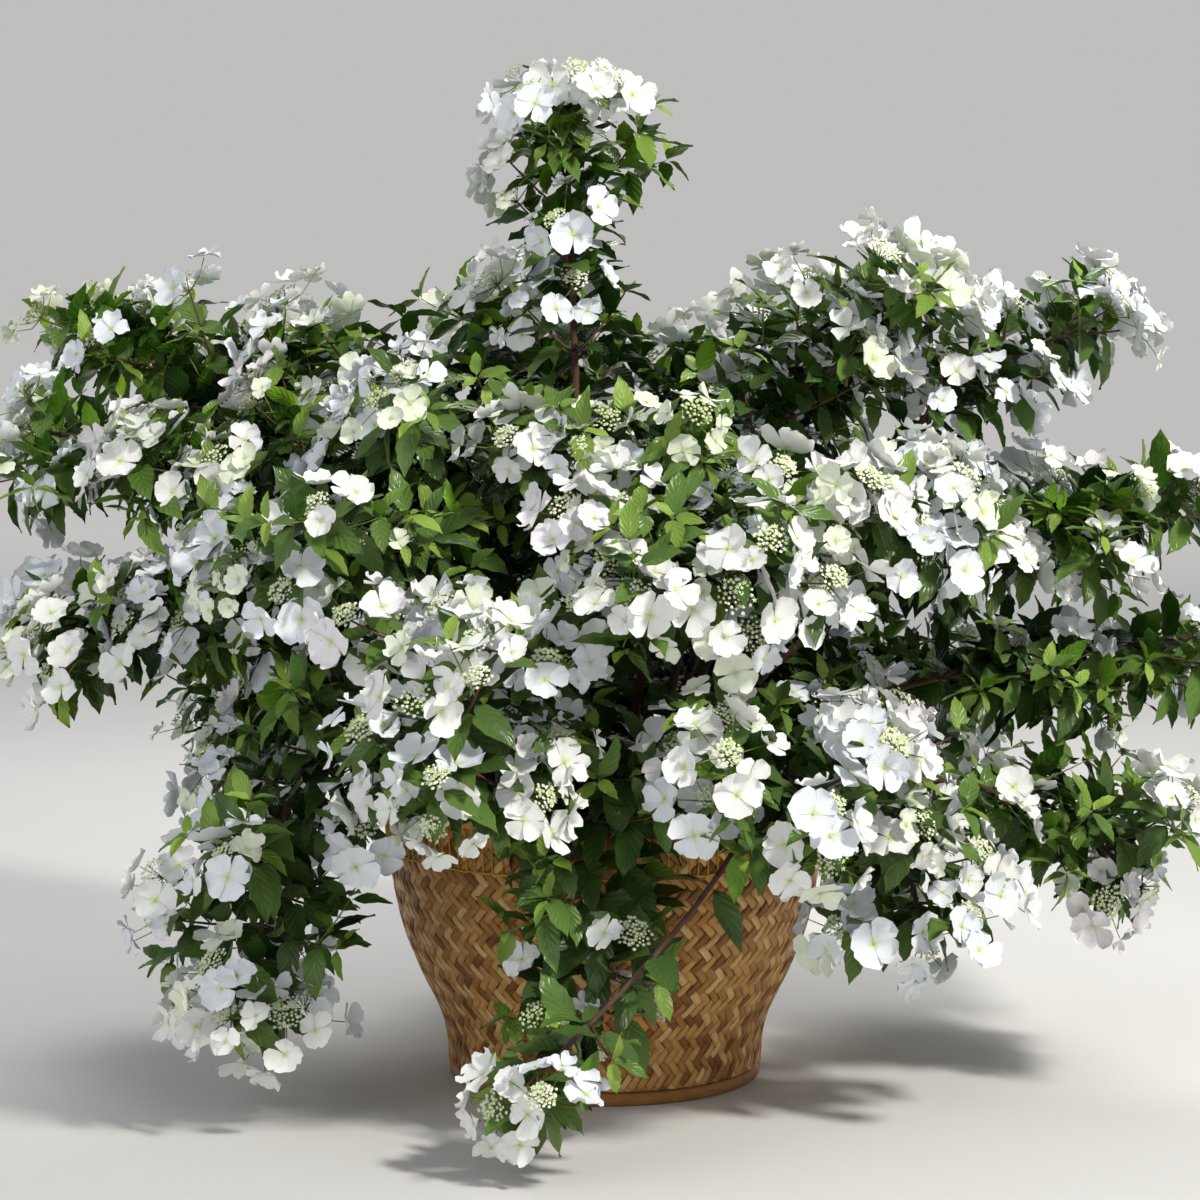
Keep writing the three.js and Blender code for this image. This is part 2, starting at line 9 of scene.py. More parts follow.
import bpy
import numpy as np
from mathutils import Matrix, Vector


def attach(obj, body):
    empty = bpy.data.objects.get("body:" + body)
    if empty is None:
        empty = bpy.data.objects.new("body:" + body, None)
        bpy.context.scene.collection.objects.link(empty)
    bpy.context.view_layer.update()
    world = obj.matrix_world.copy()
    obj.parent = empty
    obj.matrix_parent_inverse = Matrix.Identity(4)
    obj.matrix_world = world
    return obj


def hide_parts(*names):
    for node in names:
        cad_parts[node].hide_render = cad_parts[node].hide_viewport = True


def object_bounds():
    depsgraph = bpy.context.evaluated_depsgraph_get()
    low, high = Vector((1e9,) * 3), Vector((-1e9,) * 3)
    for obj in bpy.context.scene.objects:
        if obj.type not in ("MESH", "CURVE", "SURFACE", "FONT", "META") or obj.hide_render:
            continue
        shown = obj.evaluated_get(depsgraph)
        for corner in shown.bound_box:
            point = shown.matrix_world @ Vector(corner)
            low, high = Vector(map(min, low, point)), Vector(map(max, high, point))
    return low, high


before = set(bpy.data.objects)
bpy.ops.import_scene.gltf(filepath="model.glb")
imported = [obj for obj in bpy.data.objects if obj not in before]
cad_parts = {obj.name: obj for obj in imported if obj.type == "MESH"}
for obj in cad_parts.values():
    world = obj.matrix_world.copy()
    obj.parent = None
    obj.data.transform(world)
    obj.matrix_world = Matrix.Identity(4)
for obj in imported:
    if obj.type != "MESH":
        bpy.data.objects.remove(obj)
cad_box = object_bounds()
cane_nodes = sorted(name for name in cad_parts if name.startswith("cane_"))
spray_nodes = sorted(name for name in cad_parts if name.startswith("spray_"))
print("canes:", len(cane_nodes), "sprays:", len(spray_nodes))

# %% [markdown]
# ## Helpers
# Thousands of small things would be slow as separate objects. Numpy arrays hold their corners and faces
# instead, and each kind becomes one joined mesh. A Heap gathers them. Sizes are in millimetres until
# the mesh is made.

# %% A heap of corners and faces that becomes one mesh
MM = 0.001
MAP_UNIT = 100  # millimetres to one unit of a map


def linked(name, data):
    """An object with its data, in the scene."""
    obj = bpy.data.objects.new(name, data)
    bpy.context.scene.collection.objects.link(obj)
    return obj


class Heap:
    """Gathers many small meshes of one kind."""

    def __init__(self):
        self.corners, self.faces, self.maps, self.count = [], [], [], 0

    def add(self, corners, faces, flat_map):
        """Rows of x, y, z, triangles as rows of corner numbers, and a place on the map for each corner."""
        corners = np.asarray(corners, float).reshape(-1, 3)
        self.corners.append(corners)
        self.faces.append(np.asarray(faces, int).reshape(-1, 3) + self.count)
        self.maps.append(np.asarray(flat_map, float).reshape(-1, 2))
        self.count += len(corners)

    def stamp(self, shape, origins, axes, sizes):
        """The same small shape at many places. axes holds a matrix for each, whose columns are x, y, z."""
        corners, faces, flat_map = shape
        count, each = len(origins), len(corners)
        if not count:
            return
        sizes = np.asarray(sizes, float).reshape(count, 1, 1)
        placed = np.einsum("nij,kj->nki", np.asarray(axes), corners) * sizes
        placed = placed + np.asarray(origins)[:, None, :]
        numbers = faces[None] + (np.arange(count) * each)[:, None, None]
        self.add(placed, numbers, np.tile(flat_map, (count, 1)))


def joined(name, heap, material, smooth=True):
    """One object from a heap. It rides on the root body."""
    corners = np.concatenate(heap.corners) * MM
    faces = np.concatenate(heap.faces)
    places = np.concatenate(heap.maps)
    mesh = bpy.data.meshes.new(name)
    mesh.vertices.add(len(corners))
    mesh.vertices.foreach_set("co", corners.ravel())
    mesh.loops.add(faces.size)
    mesh.loops.foreach_set("vertex_index", faces.ravel())
    mesh.polygons.add(len(faces))
    mesh.polygons.foreach_set("loop_start", np.arange(0, faces.size, 3))
    mesh.polygons.foreach_set("loop_total", np.full(len(faces), 3))
    mesh.polygons.foreach_set("use_smooth", np.full(len(faces), smooth))
    flat = mesh.uv_layers.new(name="flat")
    flat.data.foreach_set("uv", places[faces.ravel()].ravel())
    mesh.update(calc_edges=True)
    mesh.validate()
    mesh.materials.append(material)
    obj = linked(name, mesh)
    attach(obj, "root")
    print(name, "triangles:", len(faces))
    return obj


# %% Directions, rings and tubes
def unit(vectors):
    """One direction, or rows of them, made 1 long."""
    return vectors / np.linalg.norm(vectors, axis=-1, keepdims=True)


def round_axis(radius, angle, height):
    """Points from their radius, angle and height. Rows and columns spread out to a grid."""
    return np.stack(np.broadcast_arrays(radius * np.cos(angle), radius * np.sin(angle), height), axis=-1)


def full_turn(count):
    """Angles that part a full turn evenly."""
    return np.arange(count) * 2 * math.pi / count


def grid_faces(rows, columns, closed=False):
    """The triangles of a grid of corners, closed round its columns or open."""
    last = columns if closed else columns - 1
    i, j = np.meshgrid(np.arange(rows - 1), np.arange(last), indexing="ij")
    a = i * columns + j
    b = i * columns + (j + 1) % columns
    one = np.stack([a, b, b + columns], axis=-1)
    two = np.stack([a, b + columns, a + columns], axis=-1)
    return np.concatenate([one.reshape(-1, 3), two.reshape(-1, 3)])


def lengths_to(points):
    """The length along a line of points up to each of them."""
    return np.r_[0, np.cumsum(np.linalg.norm(np.diff(points, axis=0), axis=1))]


def add_tube(heap, points, radii, sides, roughen=1):
    """A tapering round limb through points, with closed ends and its map along its length."""
    points = np.asarray(points, float)
    ways = unit(np.gradient(points, axis=0))
    side = unit(np.cross(ways, np.array([0.31, 0.2, 0.93])))
    other = np.cross(ways, side)
    turn = full_turn(sides)
    radii = np.broadcast_to(radii, len(points))[:, None] * np.ones(sides) * roughen
    ring = side[:, None] * np.cos(turn)[:, None] + other[:, None] * np.sin(turn)[:, None]
    corners = points[:, None] + ring * radii[..., None]
    faces = grid_faces(len(points), sides, closed=True)
    fan = np.array([[0, k + 1, k] for k in range(1, sides - 1)])
    end = fan[:, ::-1] + (len(points) - 1) * sides
    flat_map = np.broadcast_arrays(lengths_to(points)[:, None], turn * radii.mean())
    heap.add(corners, np.concatenate([faces, fan, end]), np.stack(flat_map, axis=-1) / MAP_UNIT)


# %% [markdown]
# ## Camera, floor and light
# The photo looks slightly down on the shrub from a few metres away, so a long lens stands at that place.
# The floor is one pale round sheet that bends up far away on all sides, as in a studio, so no edge shows
# from any side. One soft lamp takes the place of the sun, two more lift the shade, and a pale surround
# fills the rest.

# %% Camera
LENS, SENSOR = 99, 36
CAMERA_PLACE, LOOKS_DOWN = (-0.005, -3.3, 0.79), math.radians(5.37)

camera_data = bpy.data.cameras.new("camera")
camera_data.lens, camera_data.sensor_width = LENS, SENSOR
camera_data.clip_end = 60
camera = linked("camera", camera_data)
camera.location = CAMERA_PLACE
camera.rotation_euler = (math.pi / 2 - LOOKS_DOWN, 0, 0)
bpy.context.scene.camera = camera
print("the frame is", round(SENSOR / LENS * -CAMERA_PLACE[1], 2), "m wide at the basket")

# %% Studio floor
def studio_floor(flat=8.0, bend=2.4, top=4.2, sides=64):
    """A round floor that is flat out to one radius and then bends up into a wall."""
    turn = np.linspace(0, math.pi / 2, 12)
    radius = np.r_[flat + bend * np.sin(turn), flat + bend]
    height = np.r_[bend * (1 - np.cos(turn)), top]
    rings = round_axis(radius[:, None], full_turn(sides), height[:, None]).reshape(-1, 3)
    faces = [tuple(range(sides))]
    for i in range(len(radius) - 1):
        for k in range(sides):
            here, beside = i * sides + k, i * sides + (k + 1) % sides
            faces.append((here + sides, beside + sides, beside, here))
    mesh = bpy.data.meshes.new("studio_floor")
    mesh.from_pydata(rings.tolist(), [], faces)
    mesh.shade_smooth()
    return linked("studio_floor", mesh)


floor = studio_floor()

# %% Lamps
def soft_lamp(name, place, aim, size, watts, colour):
    """A round lamp that looks at a height on the axis."""
    data = bpy.data.lights.new(name, "AREA")
    data.shape, data.size = "DISK", size
    data.energy, data.color = watts, colour
    obj = linked(name, data)
    obj.location = x, y, z = place
    obj.rotation_euler = (math.atan2(math.hypot(x, y), z - aim), 0, math.atan2(x, -y))
    print(name, "lamp:", watts, "W")


soft_lamp("key", (2.0, -2.1, 2.95), 0.45, 0.5, 143, (1.0, 0.965, 0.90))
soft_lamp("fill", (-2.6, -2.4, 1.9), 0.5, 2.2, 27, (0.92, 0.96, 1.0))
soft_lamp("back", (0.3, 2.2, 3.1), 0.6, 1.4, 62, (1.0, 0.98, 0.95))
world = bpy.data.worlds.new("surround")
world.use_nodes = True
even_light = world.node_tree.nodes["Background"].inputs
even_light["Color"].default_value = (0.90, 0.94, 1.0, 1)
even_light["Strength"].default_value = 0.41
bpy.context.scene.world = world
bpy.context.scene.view_settings.view_transform = "Standard"

# %% [markdown]
# ## Effects that several materials share
# Split bamboo and bark both have long fibres. Leaves, petals, soil and the floor all have a soft mottle.
# Leaves and petals have ribs. Each effect is a node group, built once, that gives a mask or a height for
# the material to use.

# %% Node helpers
def put(tree, socket, value):
    """A number, a colour or another socket into a socket."""
    if isinstance(value, bpy.types.NodeSocket):
        tree.links.new(value, socket)
    else:
        socket.default_value = (*value, 1) if isinstance(value, tuple) else value


def add_node(tree, kind, inputs, **settings):
    node = tree.nodes.new("ShaderNode" + kind)
    for name, setting in settings.items():
        setattr(node, name, setting)
    for label, value in inputs.items():
        put(tree, node.inputs[label], value)
    return node


def maths(tree, operation, *values):
    return add_node(tree, "Math", dict(enumerate(values)), operation=operation).outputs[0]


def fade(tree, value, low, high):
    """0 below low, 1 above high and smooth between."""
    inputs = {"Value": value, "From Min": low, "From Max": high}
    return add_node(tree, "MapRange", inputs, interpolation_type="SMOOTHSTEP").outputs["Result"]


def cloud(tree, vector, scale, detail):
    inputs = {"Vector": vector, "Scale": scale, "Detail": detail}
    return add_node(tree, "TexNoise", inputs).outputs["Fac"]


def new_group(name, vector, numbers, masks):
    """A group that takes one vector and some numbers, given with their usual values."""
    group = bpy.data.node_groups.new(name, "ShaderNodeTree")
    group.interface.new_socket(vector, in_out="INPUT", socket_type="NodeSocketVector")
    for label, value in numbers.items():
        socket = group.interface.new_socket(label, in_out="INPUT", socket_type="NodeSocketFloat")
        socket.default_value = value
    for label in masks:
        group.interface.new_socket(label, in_out="OUTPUT", socket_type="NodeSocketFloat")
    return group, group.nodes.new("NodeGroupInput").outputs, group.nodes.new("NodeGroupOutput").inputs


# %% Fibres along a strip or a limb
fibres, given, gives = new_group("fibres", "Along and across", {"Stretch": 0.1, "Scale": 60.0},
                                 ("Mask", "Height"))
parts = add_node(fibres, "SeparateXYZ", {0: given[0]}).outputs
drawn_out = maths(fibres, "MULTIPLY", parts["X"], given["Stretch"])
squeezed = add_node(fibres, "CombineXYZ", {"X": drawn_out, "Y": parts["Y"], "Z": parts["Z"]})
grain = cloud(fibres, squeezed.outputs[0], given["Scale"], 5.0)
put(fibres, gives["Mask"], fade(fibres, grain, 0.34, 0.68))
put(fibres, gives["Height"], grain)

# %% Mottle
mottle, given, gives = new_group("mottle", "Place", {"Scale": 20.0}, ("Mask", "Height"))
patches = cloud(mottle, given["Place"], given["Scale"], 3.0)
put(mottle, gives["Mask"], fade(mottle, patches, 0.35, 0.65))
put(mottle, gives["Height"], patches)

# %% Ribs of a leaf or a petal
ribs, given, gives = new_group("ribs", "Along and across", {"Count": 7.0, "Slant": 0.34, "Midrib": 0.07},
                               ("Mask", "Height"))
parts = add_node(ribs, "SeparateXYZ", {0: given[0]}).outputs
off_centre = maths(ribs, "ABSOLUTE", maths(ribs, "SUBTRACT", parts["Y"], 0.5))
outward = maths(ribs, "MULTIPLY", off_centre, 2.0)
slanted = maths(ribs, "SUBTRACT", parts["X"], maths(ribs, "MULTIPLY", outward, given["Slant"]))
wave = maths(ribs, "FRACT", maths(ribs, "MULTIPLY", slanted, given["Count"]))
from_rib = maths(ribs, "ABSOLUTE", maths(ribs, "SUBTRACT", wave, 0.5))
off_rib = fade(ribs, from_rib, 0.0, 0.13)
inside_edge = maths(ribs, "SUBTRACT", 1.0, fade(ribs, outward, 0.7, 1.0))
side_rib = maths(ribs, "MULTIPLY", maths(ribs, "SUBTRACT", 1.0, off_rib), inside_edge)
off_middle = maths(ribs, "DIVIDE", outward, given["Midrib"])
middle = maths(ribs, "SUBTRACT", 1.0, fade(ribs, off_middle, 0.3, 1.0))
swell = maths(ribs, "MULTIPLY", fade(ribs, from_rib, 0.0, 0.4), fade(ribs, off_middle, 0.3, 2.5))
put(ribs, gives["Mask"], maths(ribs, "MAXIMUM", side_rib, middle))
put(ribs, gives["Height"], swell)
print("effects:", [group.name for group in bpy.data.node_groups])

# %% Material helpers
def to_shader(tree, label, value):
    put(tree, tree.nodes["Principled BSDF"].inputs[label], value)


def new_material(name, roughness, **plain):
    """A material and its tree. Plain values sit on the shader's own sockets."""
    print("material:", name)
    material = bpy.data.materials.new(name)
    material.use_nodes = True
    to_shader(material.node_tree, "Roughness", roughness)
    for label, value in plain.items():
        to_shader(material.node_tree, label.replace("_", " "), value)
    return material, material.node_tree


def place_on(tree, kind):
    return tree.nodes.new("ShaderNodeTexCoord").outputs[kind]


def place_group(tree, group, kind, **values):
    """A group on one kind of coordinates. It gives its outputs."""
    return add_node(tree, "Group", {0: place_on(tree, kind), **values}, node_tree=group).outputs


def blend(tree, mask, first, second, share=1.0):
    """first where the mask is 0, and second or a share of it where it is 1. Both are colours or sockets."""
    factor = mask if share == 1 else maths(tree, "MULTIPLY", mask, share)
    inputs = {"Factor": factor, "A": first, "B": second}
    return add_node(tree, "Mix", inputs, data_type="RGBA").outputs["Result"]


def spread(tree, mask, low, high):
    """Roughness from low to high by a mask."""
    between = add_node(tree, "MapRange", {"Value": mask, "To Min": low, "To Max": high})
    to_shader(tree, "Roughness", between.outputs["Result"])


def painted(material, colour, height, distance, strength=1.0):
    """The material with its colour and with relief from a height."""
    tree = material.node_tree
    relief = add_node(tree, "Bump", {"Height": height, "Distance": distance, "Strength": strength})
    to_shader(tree, "Base Color", colour)
    to_shader(tree, "Normal", relief.outputs["Normal"])
    return material


# %% Floor material
BLACK, FAR_GREY = (0, 0, 0), (0.51, 0.505, 0.495)


def floor_material():
    material, tree = new_material("pale_floor", 0.85, Emission_Strength=1.0)
    mask = place_group(tree, mottle, "Object", Scale=1.2)["Mask"]
    paper = blend(tree, mask, (0.65, 0.64, 0.625), (0.68, 0.67, 0.655))
    # Far from the lamps the sheet would turn grey, so there it glows evenly and takes no light
    distance = add_node(tree, "VectorMath", {0: place_on(tree, "Object")}, operation="LENGTH")
    glow = fade(tree, distance.outputs["Value"], 2.0, 7.5)
    to_shader(tree, "Base Color", blend(tree, glow, paper, BLACK))
    to_shader(tree, "Emission Color", blend(tree, glow, BLACK, FAR_GREY))
    return material


floor.data.materials.append(floor_material())

# %% [markdown]
# ## Basket
# The real basket is plaited on the bias from split bamboo, each strip over two and under two, so the
# floats of one direction make a row round the basket and those of the other direction make the next.
# A bump map would look flat at the outline. Each float is a small arched plate instead: its ends dip
# under its neighbours and its middle stands proud. The count of strips round the wall stays the same, so
# they draw together and stand steeper at the waist. Strips differ in tone, and each keeps its tone round.

# %% Basket sizes
WALL_OUTLINE = [(14, 158), (42, 159), (66, 165), (100, 183), (150, 204), (208, 216), (289, 222)]
FOOT_RADIUS, FOOT_HEIGHT = 157, 14
WALL_TOP, RIM_HEIGHT = 289, 292
WALL_THICKNESS = 7
STRIPS_ROUND = 112
ROW_RISE = 6.0  # height that one crossing gains


def wall_radius(height):
    """The wall's outer radius, with the corners of its outline eased."""
    heights, radii = np.array(WALL_OUTLINE, float).T
    near = [np.interp(np.asarray(height) + step, heights, radii) for step in (-16, -8, 0, 8, 16)]
    return np.mean(near, axis=0)


print("the wall is", round(2 * float(wall_radius(WALL_TOP))), "mm wide at its top")

# %% Bamboo materials
def bamboo(name, dark, light):
    material, tree = new_material(name, 0.42, Specular_IOR_Level=0.28)
    grain = place_group(tree, fibres, "UV", Stretch=0.08, Scale=95.0)
    worn = place_group(tree, mottle, "Object", Scale=38.0)["Mask"]
    base = blend(tree, grain["Mask"], dark, light)
    stained = blend(tree, worn, base, tuple(0.8 * part for part in dark), 0.45)
    spread(tree, worn, 0.34, 0.58)
    return painted(material, stained, grain["Height"], 0.0006, 0.8)


TONES = {
    "dark": ((0.190, 0.074, 0.018), (0.290, 0.126, 0.034)),
    "brown": ((0.350, 0.158, 0.040), (0.480, 0.236, 0.066)),
    "honey": ((0.500, 0.256, 0.074), (0.640, 0.360, 0.118)),
    "pale": ((0.640, 0.385, 0.145), (0.800, 0.540, 0.250)),
}
strip_materials = {tone: bamboo(f"bamboo_{tone}", *pair) for tone, pair in TONES.items()}

# %% One plate of the weave
WEAVE_BOTTOM, WEAVE_TOP = FOOT_HEIGHT + 1, WALL_TOP - 2
PLATE_ALONG = np.array([-0.16, 0.14, 0.62, 1.38, 1.86, 2.16])  # stations in crossings, over two of them
PLATE_ACROSS = np.array([-0.5, -0.5, 0.0, 0.5, 0.5])  # stations in widths, each edge twice
CROWN = np.array([-0.7, -0.06, 0.04, -0.06, -0.7])  # how far they stand proud, with the edges turned down
ARCH = -0.95 + 1.45 * np.clip(np.sin(np.pi * (PLATE_ALONG + 0.16) / 2.32), 0, 1) ** 0.6
CROSSING_ON_MAP, STRIP_ON_MAP = 8.6, 31


def plate(family, strip, first, long_way, wide_way, lift):
    """The corners and map of a plate. Heights count up with both ways, and turning with their difference."""
    height = np.clip(WEAVE_BOTTOM + (first + long_way + wide_way) * ROW_RISE, WEAVE_BOTTOM, WEAVE_TOP)
    lean = wide_way - long_way - first
    angle = (2 * strip + (-lean if family else lean)) * math.pi / STRIPS_ROUND
    along, across = long_way * CROSSING_ON_MAP, wide_way * CROSSING_ON_MAP + STRIP_ON_MAP * strip
    flat_map = np.stack([along, across], axis=-1) / MAP_UNIT
    return round_axis(wall_radius(height) + lift, angle, height), flat_map


# %% Weave
TONE_SHARES = [0.17, 0.36, 0.33, 0.14]
SHORTEST_PLATE = 4  # a plate that the wall's edges cut shorter is left out


def float_plates():
    """A heap of arched plates for each tone, from both directions of strips."""
    draw = np.random.default_rng(7)
    names = list(TONES)
    tones = draw.choice(len(names), (2, STRIPS_ROUND), p=TONE_SHARES)
    widths = draw.uniform(0.86, 0.97, (2, STRIPS_ROUND))
    faces = grid_faces(len(PLATE_ALONG), len(PLATE_ACROSS))
    heaps = {name: Heap() for name in names}
    rows = int((WEAVE_TOP - WEAVE_BOTTOM) / ROW_RISE) + 4
    for family in (0, 1):
        for strip in range(STRIPS_ROUND):
            # Over two and under two: a strip comes up at every fourth crossing
            for first in range(-2 + 2 * family, rows + 2 * family, 4):
                wobble = draw.uniform(-0.05, 0.05, 2)
                width = widths[family, strip] * draw.uniform(0.95, 1.03)
                long_way = PLATE_ALONG[:, None] + wobble[0] + 0 * PLATE_ACROSS
                wide_way = PLATE_ACROSS * width + 0.5 + wobble[1] + 0 * PLATE_ALONG[:, None]
                lift = ARCH[:, None] + CROWN + draw.uniform(-0.2, 0.25)
                corners, flat_map = plate(family, strip, first, long_way, wide_way, lift)
                if np.ptp(corners[..., 2]) >= SHORTEST_PLATE:
                    order = faces if family else faces[:, ::-1]
                    heaps[names[tones[family, strip]]].add(corners, order, flat_map)
    return heaps


for tone, heap in float_plates().items():
    joined(f"weave_{tone}", heap, strip_materials[tone])

# %% [markdown]
# ### Lining, foot and rim
# Behind the floats the wall is closed, so a turned shell stands there as the wall's inner side. Its bamboo
# is painted darker than any strip, as painted shade that shows in the small holes at the floats' corners.
# The foot is a flat hoop, and the rim is a rounded band lashed on with yellow
# stitches that run down to a cord. All of them are turned or bent from named sizes.

# %% Turned pieces
TURNED_SIDES = 112


def turned_piece(name, outline, material, node):
    """A profile of radius and height, turned round the axis. It takes the place of a solid."""
    outline = np.array(outline, float)
    turn = np.arange(TURNED_SIDES + 1) * 2 * math.pi / TURNED_SIDES
    corners = round_axis(outline[:, :1], turn, outline[:, 1:])
    flat_map = np.stack(np.broadcast_arrays(turn * 200, lengths_to(outline)[:, None]), axis=-1)
    heap = Heap()
    heap.add(corners, grid_faces(len(outline), TURNED_SIDES + 1)[:, ::-1], flat_map / MAP_UNIT)
    piece = joined(name, heap, material)
    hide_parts(node)


# %% Lining, foot and rim
LINING_IN = 1.6  # how far the lining stands behind the floats
BAND_MIDDLE = np.array([float(wall_radius(WALL_TOP)) + 1.2, 284])  # radius and height
BAND_HALF = np.array([5.2, 7.8])

heights = np.linspace(FOOT_HEIGHT + 0.5, WALL_TOP, 18)
outside = [(wall_radius(h) - LINING_IN, h) for h in heights]
inside = [(wall_radius(h) - WALL_THICKNESS, h) for h in heights[::-1]]
# The lining's bamboo is darker than any strip: painted shade in the holes between the floats
turned_piece("basket_lining", [(0, FOOT_HEIGHT + 0.5), *outside, *inside],
             bamboo("bamboo_inside_painted_shade", (0.10, 0.04, 0.015), (0.17, 0.075, 0.028)), "basket_wall")

hoop = [(-3, 0), (0, 1.6), (0.8, 7), (0, 12.2), (-2, 13.6), (-8, 14)]
turned_piece("basket_foot_hoop", [(0, 0), *((FOOT_RADIUS + out, up) for out, up in hoop), (0, 14)],
             bamboo("bamboo_hoop", (0.30, 0.132, 0.036), (0.42, 0.20, 0.058)), "basket_foot")

section = np.linspace(-math.pi / 2, 1.5 * math.pi, 17)
oval = np.stack([np.cos(section), np.sin(section)], axis=-1)
turned_piece("basket_rim_band", BAND_MIDDLE + BAND_HALF * oval,
             bamboo("bamboo_rim", (0.42, 0.215, 0.06), (0.56, 0.33, 0.11)), "basket_rim")

# %% Yellow stitches
STITCH_PITCH, STITCH_CIRCLE, STITCH_FOOT = 10.2, 221, 235
STITCH_RADIUS, CORD_RADIUS, CORD_PROUD, CORD_WAVE = 0.7, 1.0, 2.2, 0.7
STITCH_LEVELS = np.array([STITCH_FOOT, 244, 256, 268, 276, 284, 290.5, 291.6])
STITCH_PROUD = np.array([1.9, 2.0, 2.1, 2.6, 5.2, 7.2, 4.0, -1.0])  # off the wall, over the band and in


def yellow_stitches():
    """Stitches down from the rim, and the cord round the basket that holds their feet."""
    heap = Heap()
    draw = np.random.default_rng(11)
    count = int(2 * math.pi * STITCH_CIRCLE / STITCH_PITCH)
    radii = wall_radius(STITCH_LEVELS) + STITCH_PROUD
    for k in range(count):
        angle = (k + draw.uniform(-0.07, 0.07)) * 2 * math.pi / count
        lean = angle + draw.uniform(-0.003, 0.003) * (STITCH_LEVELS - STITCH_FOOT) / 50
        add_tube(heap, round_axis(radii, lean, STITCH_LEVELS), STITCH_RADIUS, 5)
    turn = np.linspace(0, 2 * math.pi, 181)
    level = STITCH_FOOT + CORD_WAVE * np.sin(turn * count / 2)
    add_tube(heap, round_axis(wall_radius(level) + CORD_PROUD, turn, level), CORD_RADIUS, 6)
    return heap


yellow_cane = bamboo("yellow_cane", (0.62, 0.33, 0.02), (0.82, 0.50, 0.05))
joined("rim_stitches", yellow_stitches(), yellow_cane)

# %% [markdown]
# ## Soil
# The CAD solid of the soil has the right shape, so it keeps its mesh and gets a dark moist material. Loose
# crumbs of compost and bark lie on it: a few squashed shapes, stamped many times.

# %% Soil
def soil_material():
    material, tree = new_material("potting_soil", 0.92)
    coarse = place_group(tree, mottle, "Object", Scale=90.0)
    fine = place_group(tree, mottle, "Object", Scale=330.0)
    base = blend(tree, coarse["Mask"], (0.018, 0.010, 0.006), (0.055, 0.032, 0.018))
    flecked = blend(tree, fine["Mask"], base, (0.10, 0.065, 0.04), 0.3)
    return painted(material, flecked, fine["Height"], 0.004)


soil = soil_material()
soil_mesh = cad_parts["soil"].data
soil_mesh.materials.clear()
soil_mesh.materials.append(soil)

# %% Crumbs
CRUMB_KINDS, CRUMBS_OF_A_KIND, CRUMB_SIZE, CRUMBS_OUT_TO = 6, 260, (1.4, 5.2), 206
SOIL_LEVEL, EDGE_FROM, EDGE_TO, EDGE_DROP = 262, 150, 208, 10  # the soil sinks a little towards the wall


def crumb_shape(draw):
    """A squashed, uneven eight-faced lump."""
    corners = np.array([[1, 0, 0], [-1, 0, 0], [0, 1, 0], [0, -1, 0], [0, 0, 1], [0, 0, -1]], float)
    corners *= draw.uniform(0.55, 1.2, (6, 3))
    upper = [[0, 2, 4], [2, 1, 4], [1, 3, 4], [3, 0, 4]]
    lower = [[2, 0, 5], [1, 2, 5], [3, 1, 5], [0, 3, 5]]
    return corners, np.array(upper + lower), corners[:, :2] * 0.05


def loose_crumbs():
    draw = np.random.default_rng(23)
    heap = Heap()
    for _ in range(CRUMB_KINDS):
        count = CRUMBS_OF_A_KIND
        radius = CRUMBS_OUT_TO * np.sqrt(draw.uniform(0, 1, count))
        angle = draw.uniform(0, 2 * math.pi, count)
        level = SOIL_LEVEL - EDGE_DROP * np.clip((radius - EDGE_FROM) / (EDGE_TO - EDGE_FROM), 0, 1)
        origins = round_axis(radius, angle, level + 0.6)
        axes = np.linalg.qr(draw.normal(size=(count, 3, 3)))[0]
        axes[:, 2] *= 0.6
        heap.stamp(crumb_shape(draw), origins, axes, draw.uniform(*CRUMB_SIZE, count))
    return heap


joined("soil_crumbs", loose_crumbs(), soil, smooth=False)

# %% [markdown]
# ## How the shrub grows
# The solids follow a rule, and the same rule is written again here. Each shoot is a curve from the soil,
# up and over to its tip. Its first part is bare cane. On the rest, twigs stand in opposite pairs, each
# pair turned from the last. Here the pairs stand twice as close, twigs branch again, and a twig keeps
# mostly to the room between its own stem and the next.

# %% The curve of a shoot
SOIL_TOP = 262.3
FOOT_CIRCLE, INWARD_PER_HEIGHT, INWARD_FROM = 120, 0.11, 150  # high shoots stand nearer the middle
FIRST_BEND_ALONG, FIRST_BEND_UP = 0.13, 0.72
SECOND_BEND_ALONG, SECOND_BEND_DROOP = 0.58, 0.4


def shoot_bends(bearing, reach, tip, arch, turn):
    """The four control points of a shoot's curve."""
    foot = FOOT_CIRCLE - INWARD_PER_HEIGHT * max(0, tip - INWARD_FROM)
    droop = max(0, (arch - tip) / arch)

    def place(along, height, off):
        return round_axis(foot + (reach - foot) * along, math.radians(bearing + off), height)

    return np.array([
        place(0, SOIL_TOP, turn),
        place(FIRST_BEND_ALONG, SOIL_TOP + FIRST_BEND_UP * (arch - SOIL_TOP), turn),
        place(SECOND_BEND_ALONG + SECOND_BEND_DROOP * droop, arch, turn),
        place(1, tip, 0),
    ])


def on_curve(bends, share):
    s = np.asarray(share, float)[..., None]
    a, b, c, d = bends
    return (1 - s) ** 3 * a + 3 * (1 - s) ** 2 * s * b + 3 * (1 - s) * s ** 2 * c + s ** 3 * d


# %% What a shoot knows of itself
ROOM_OVER_RISING, ROOM_OVER_ARCHING, ROOM_UNDER = 6, 40, 62


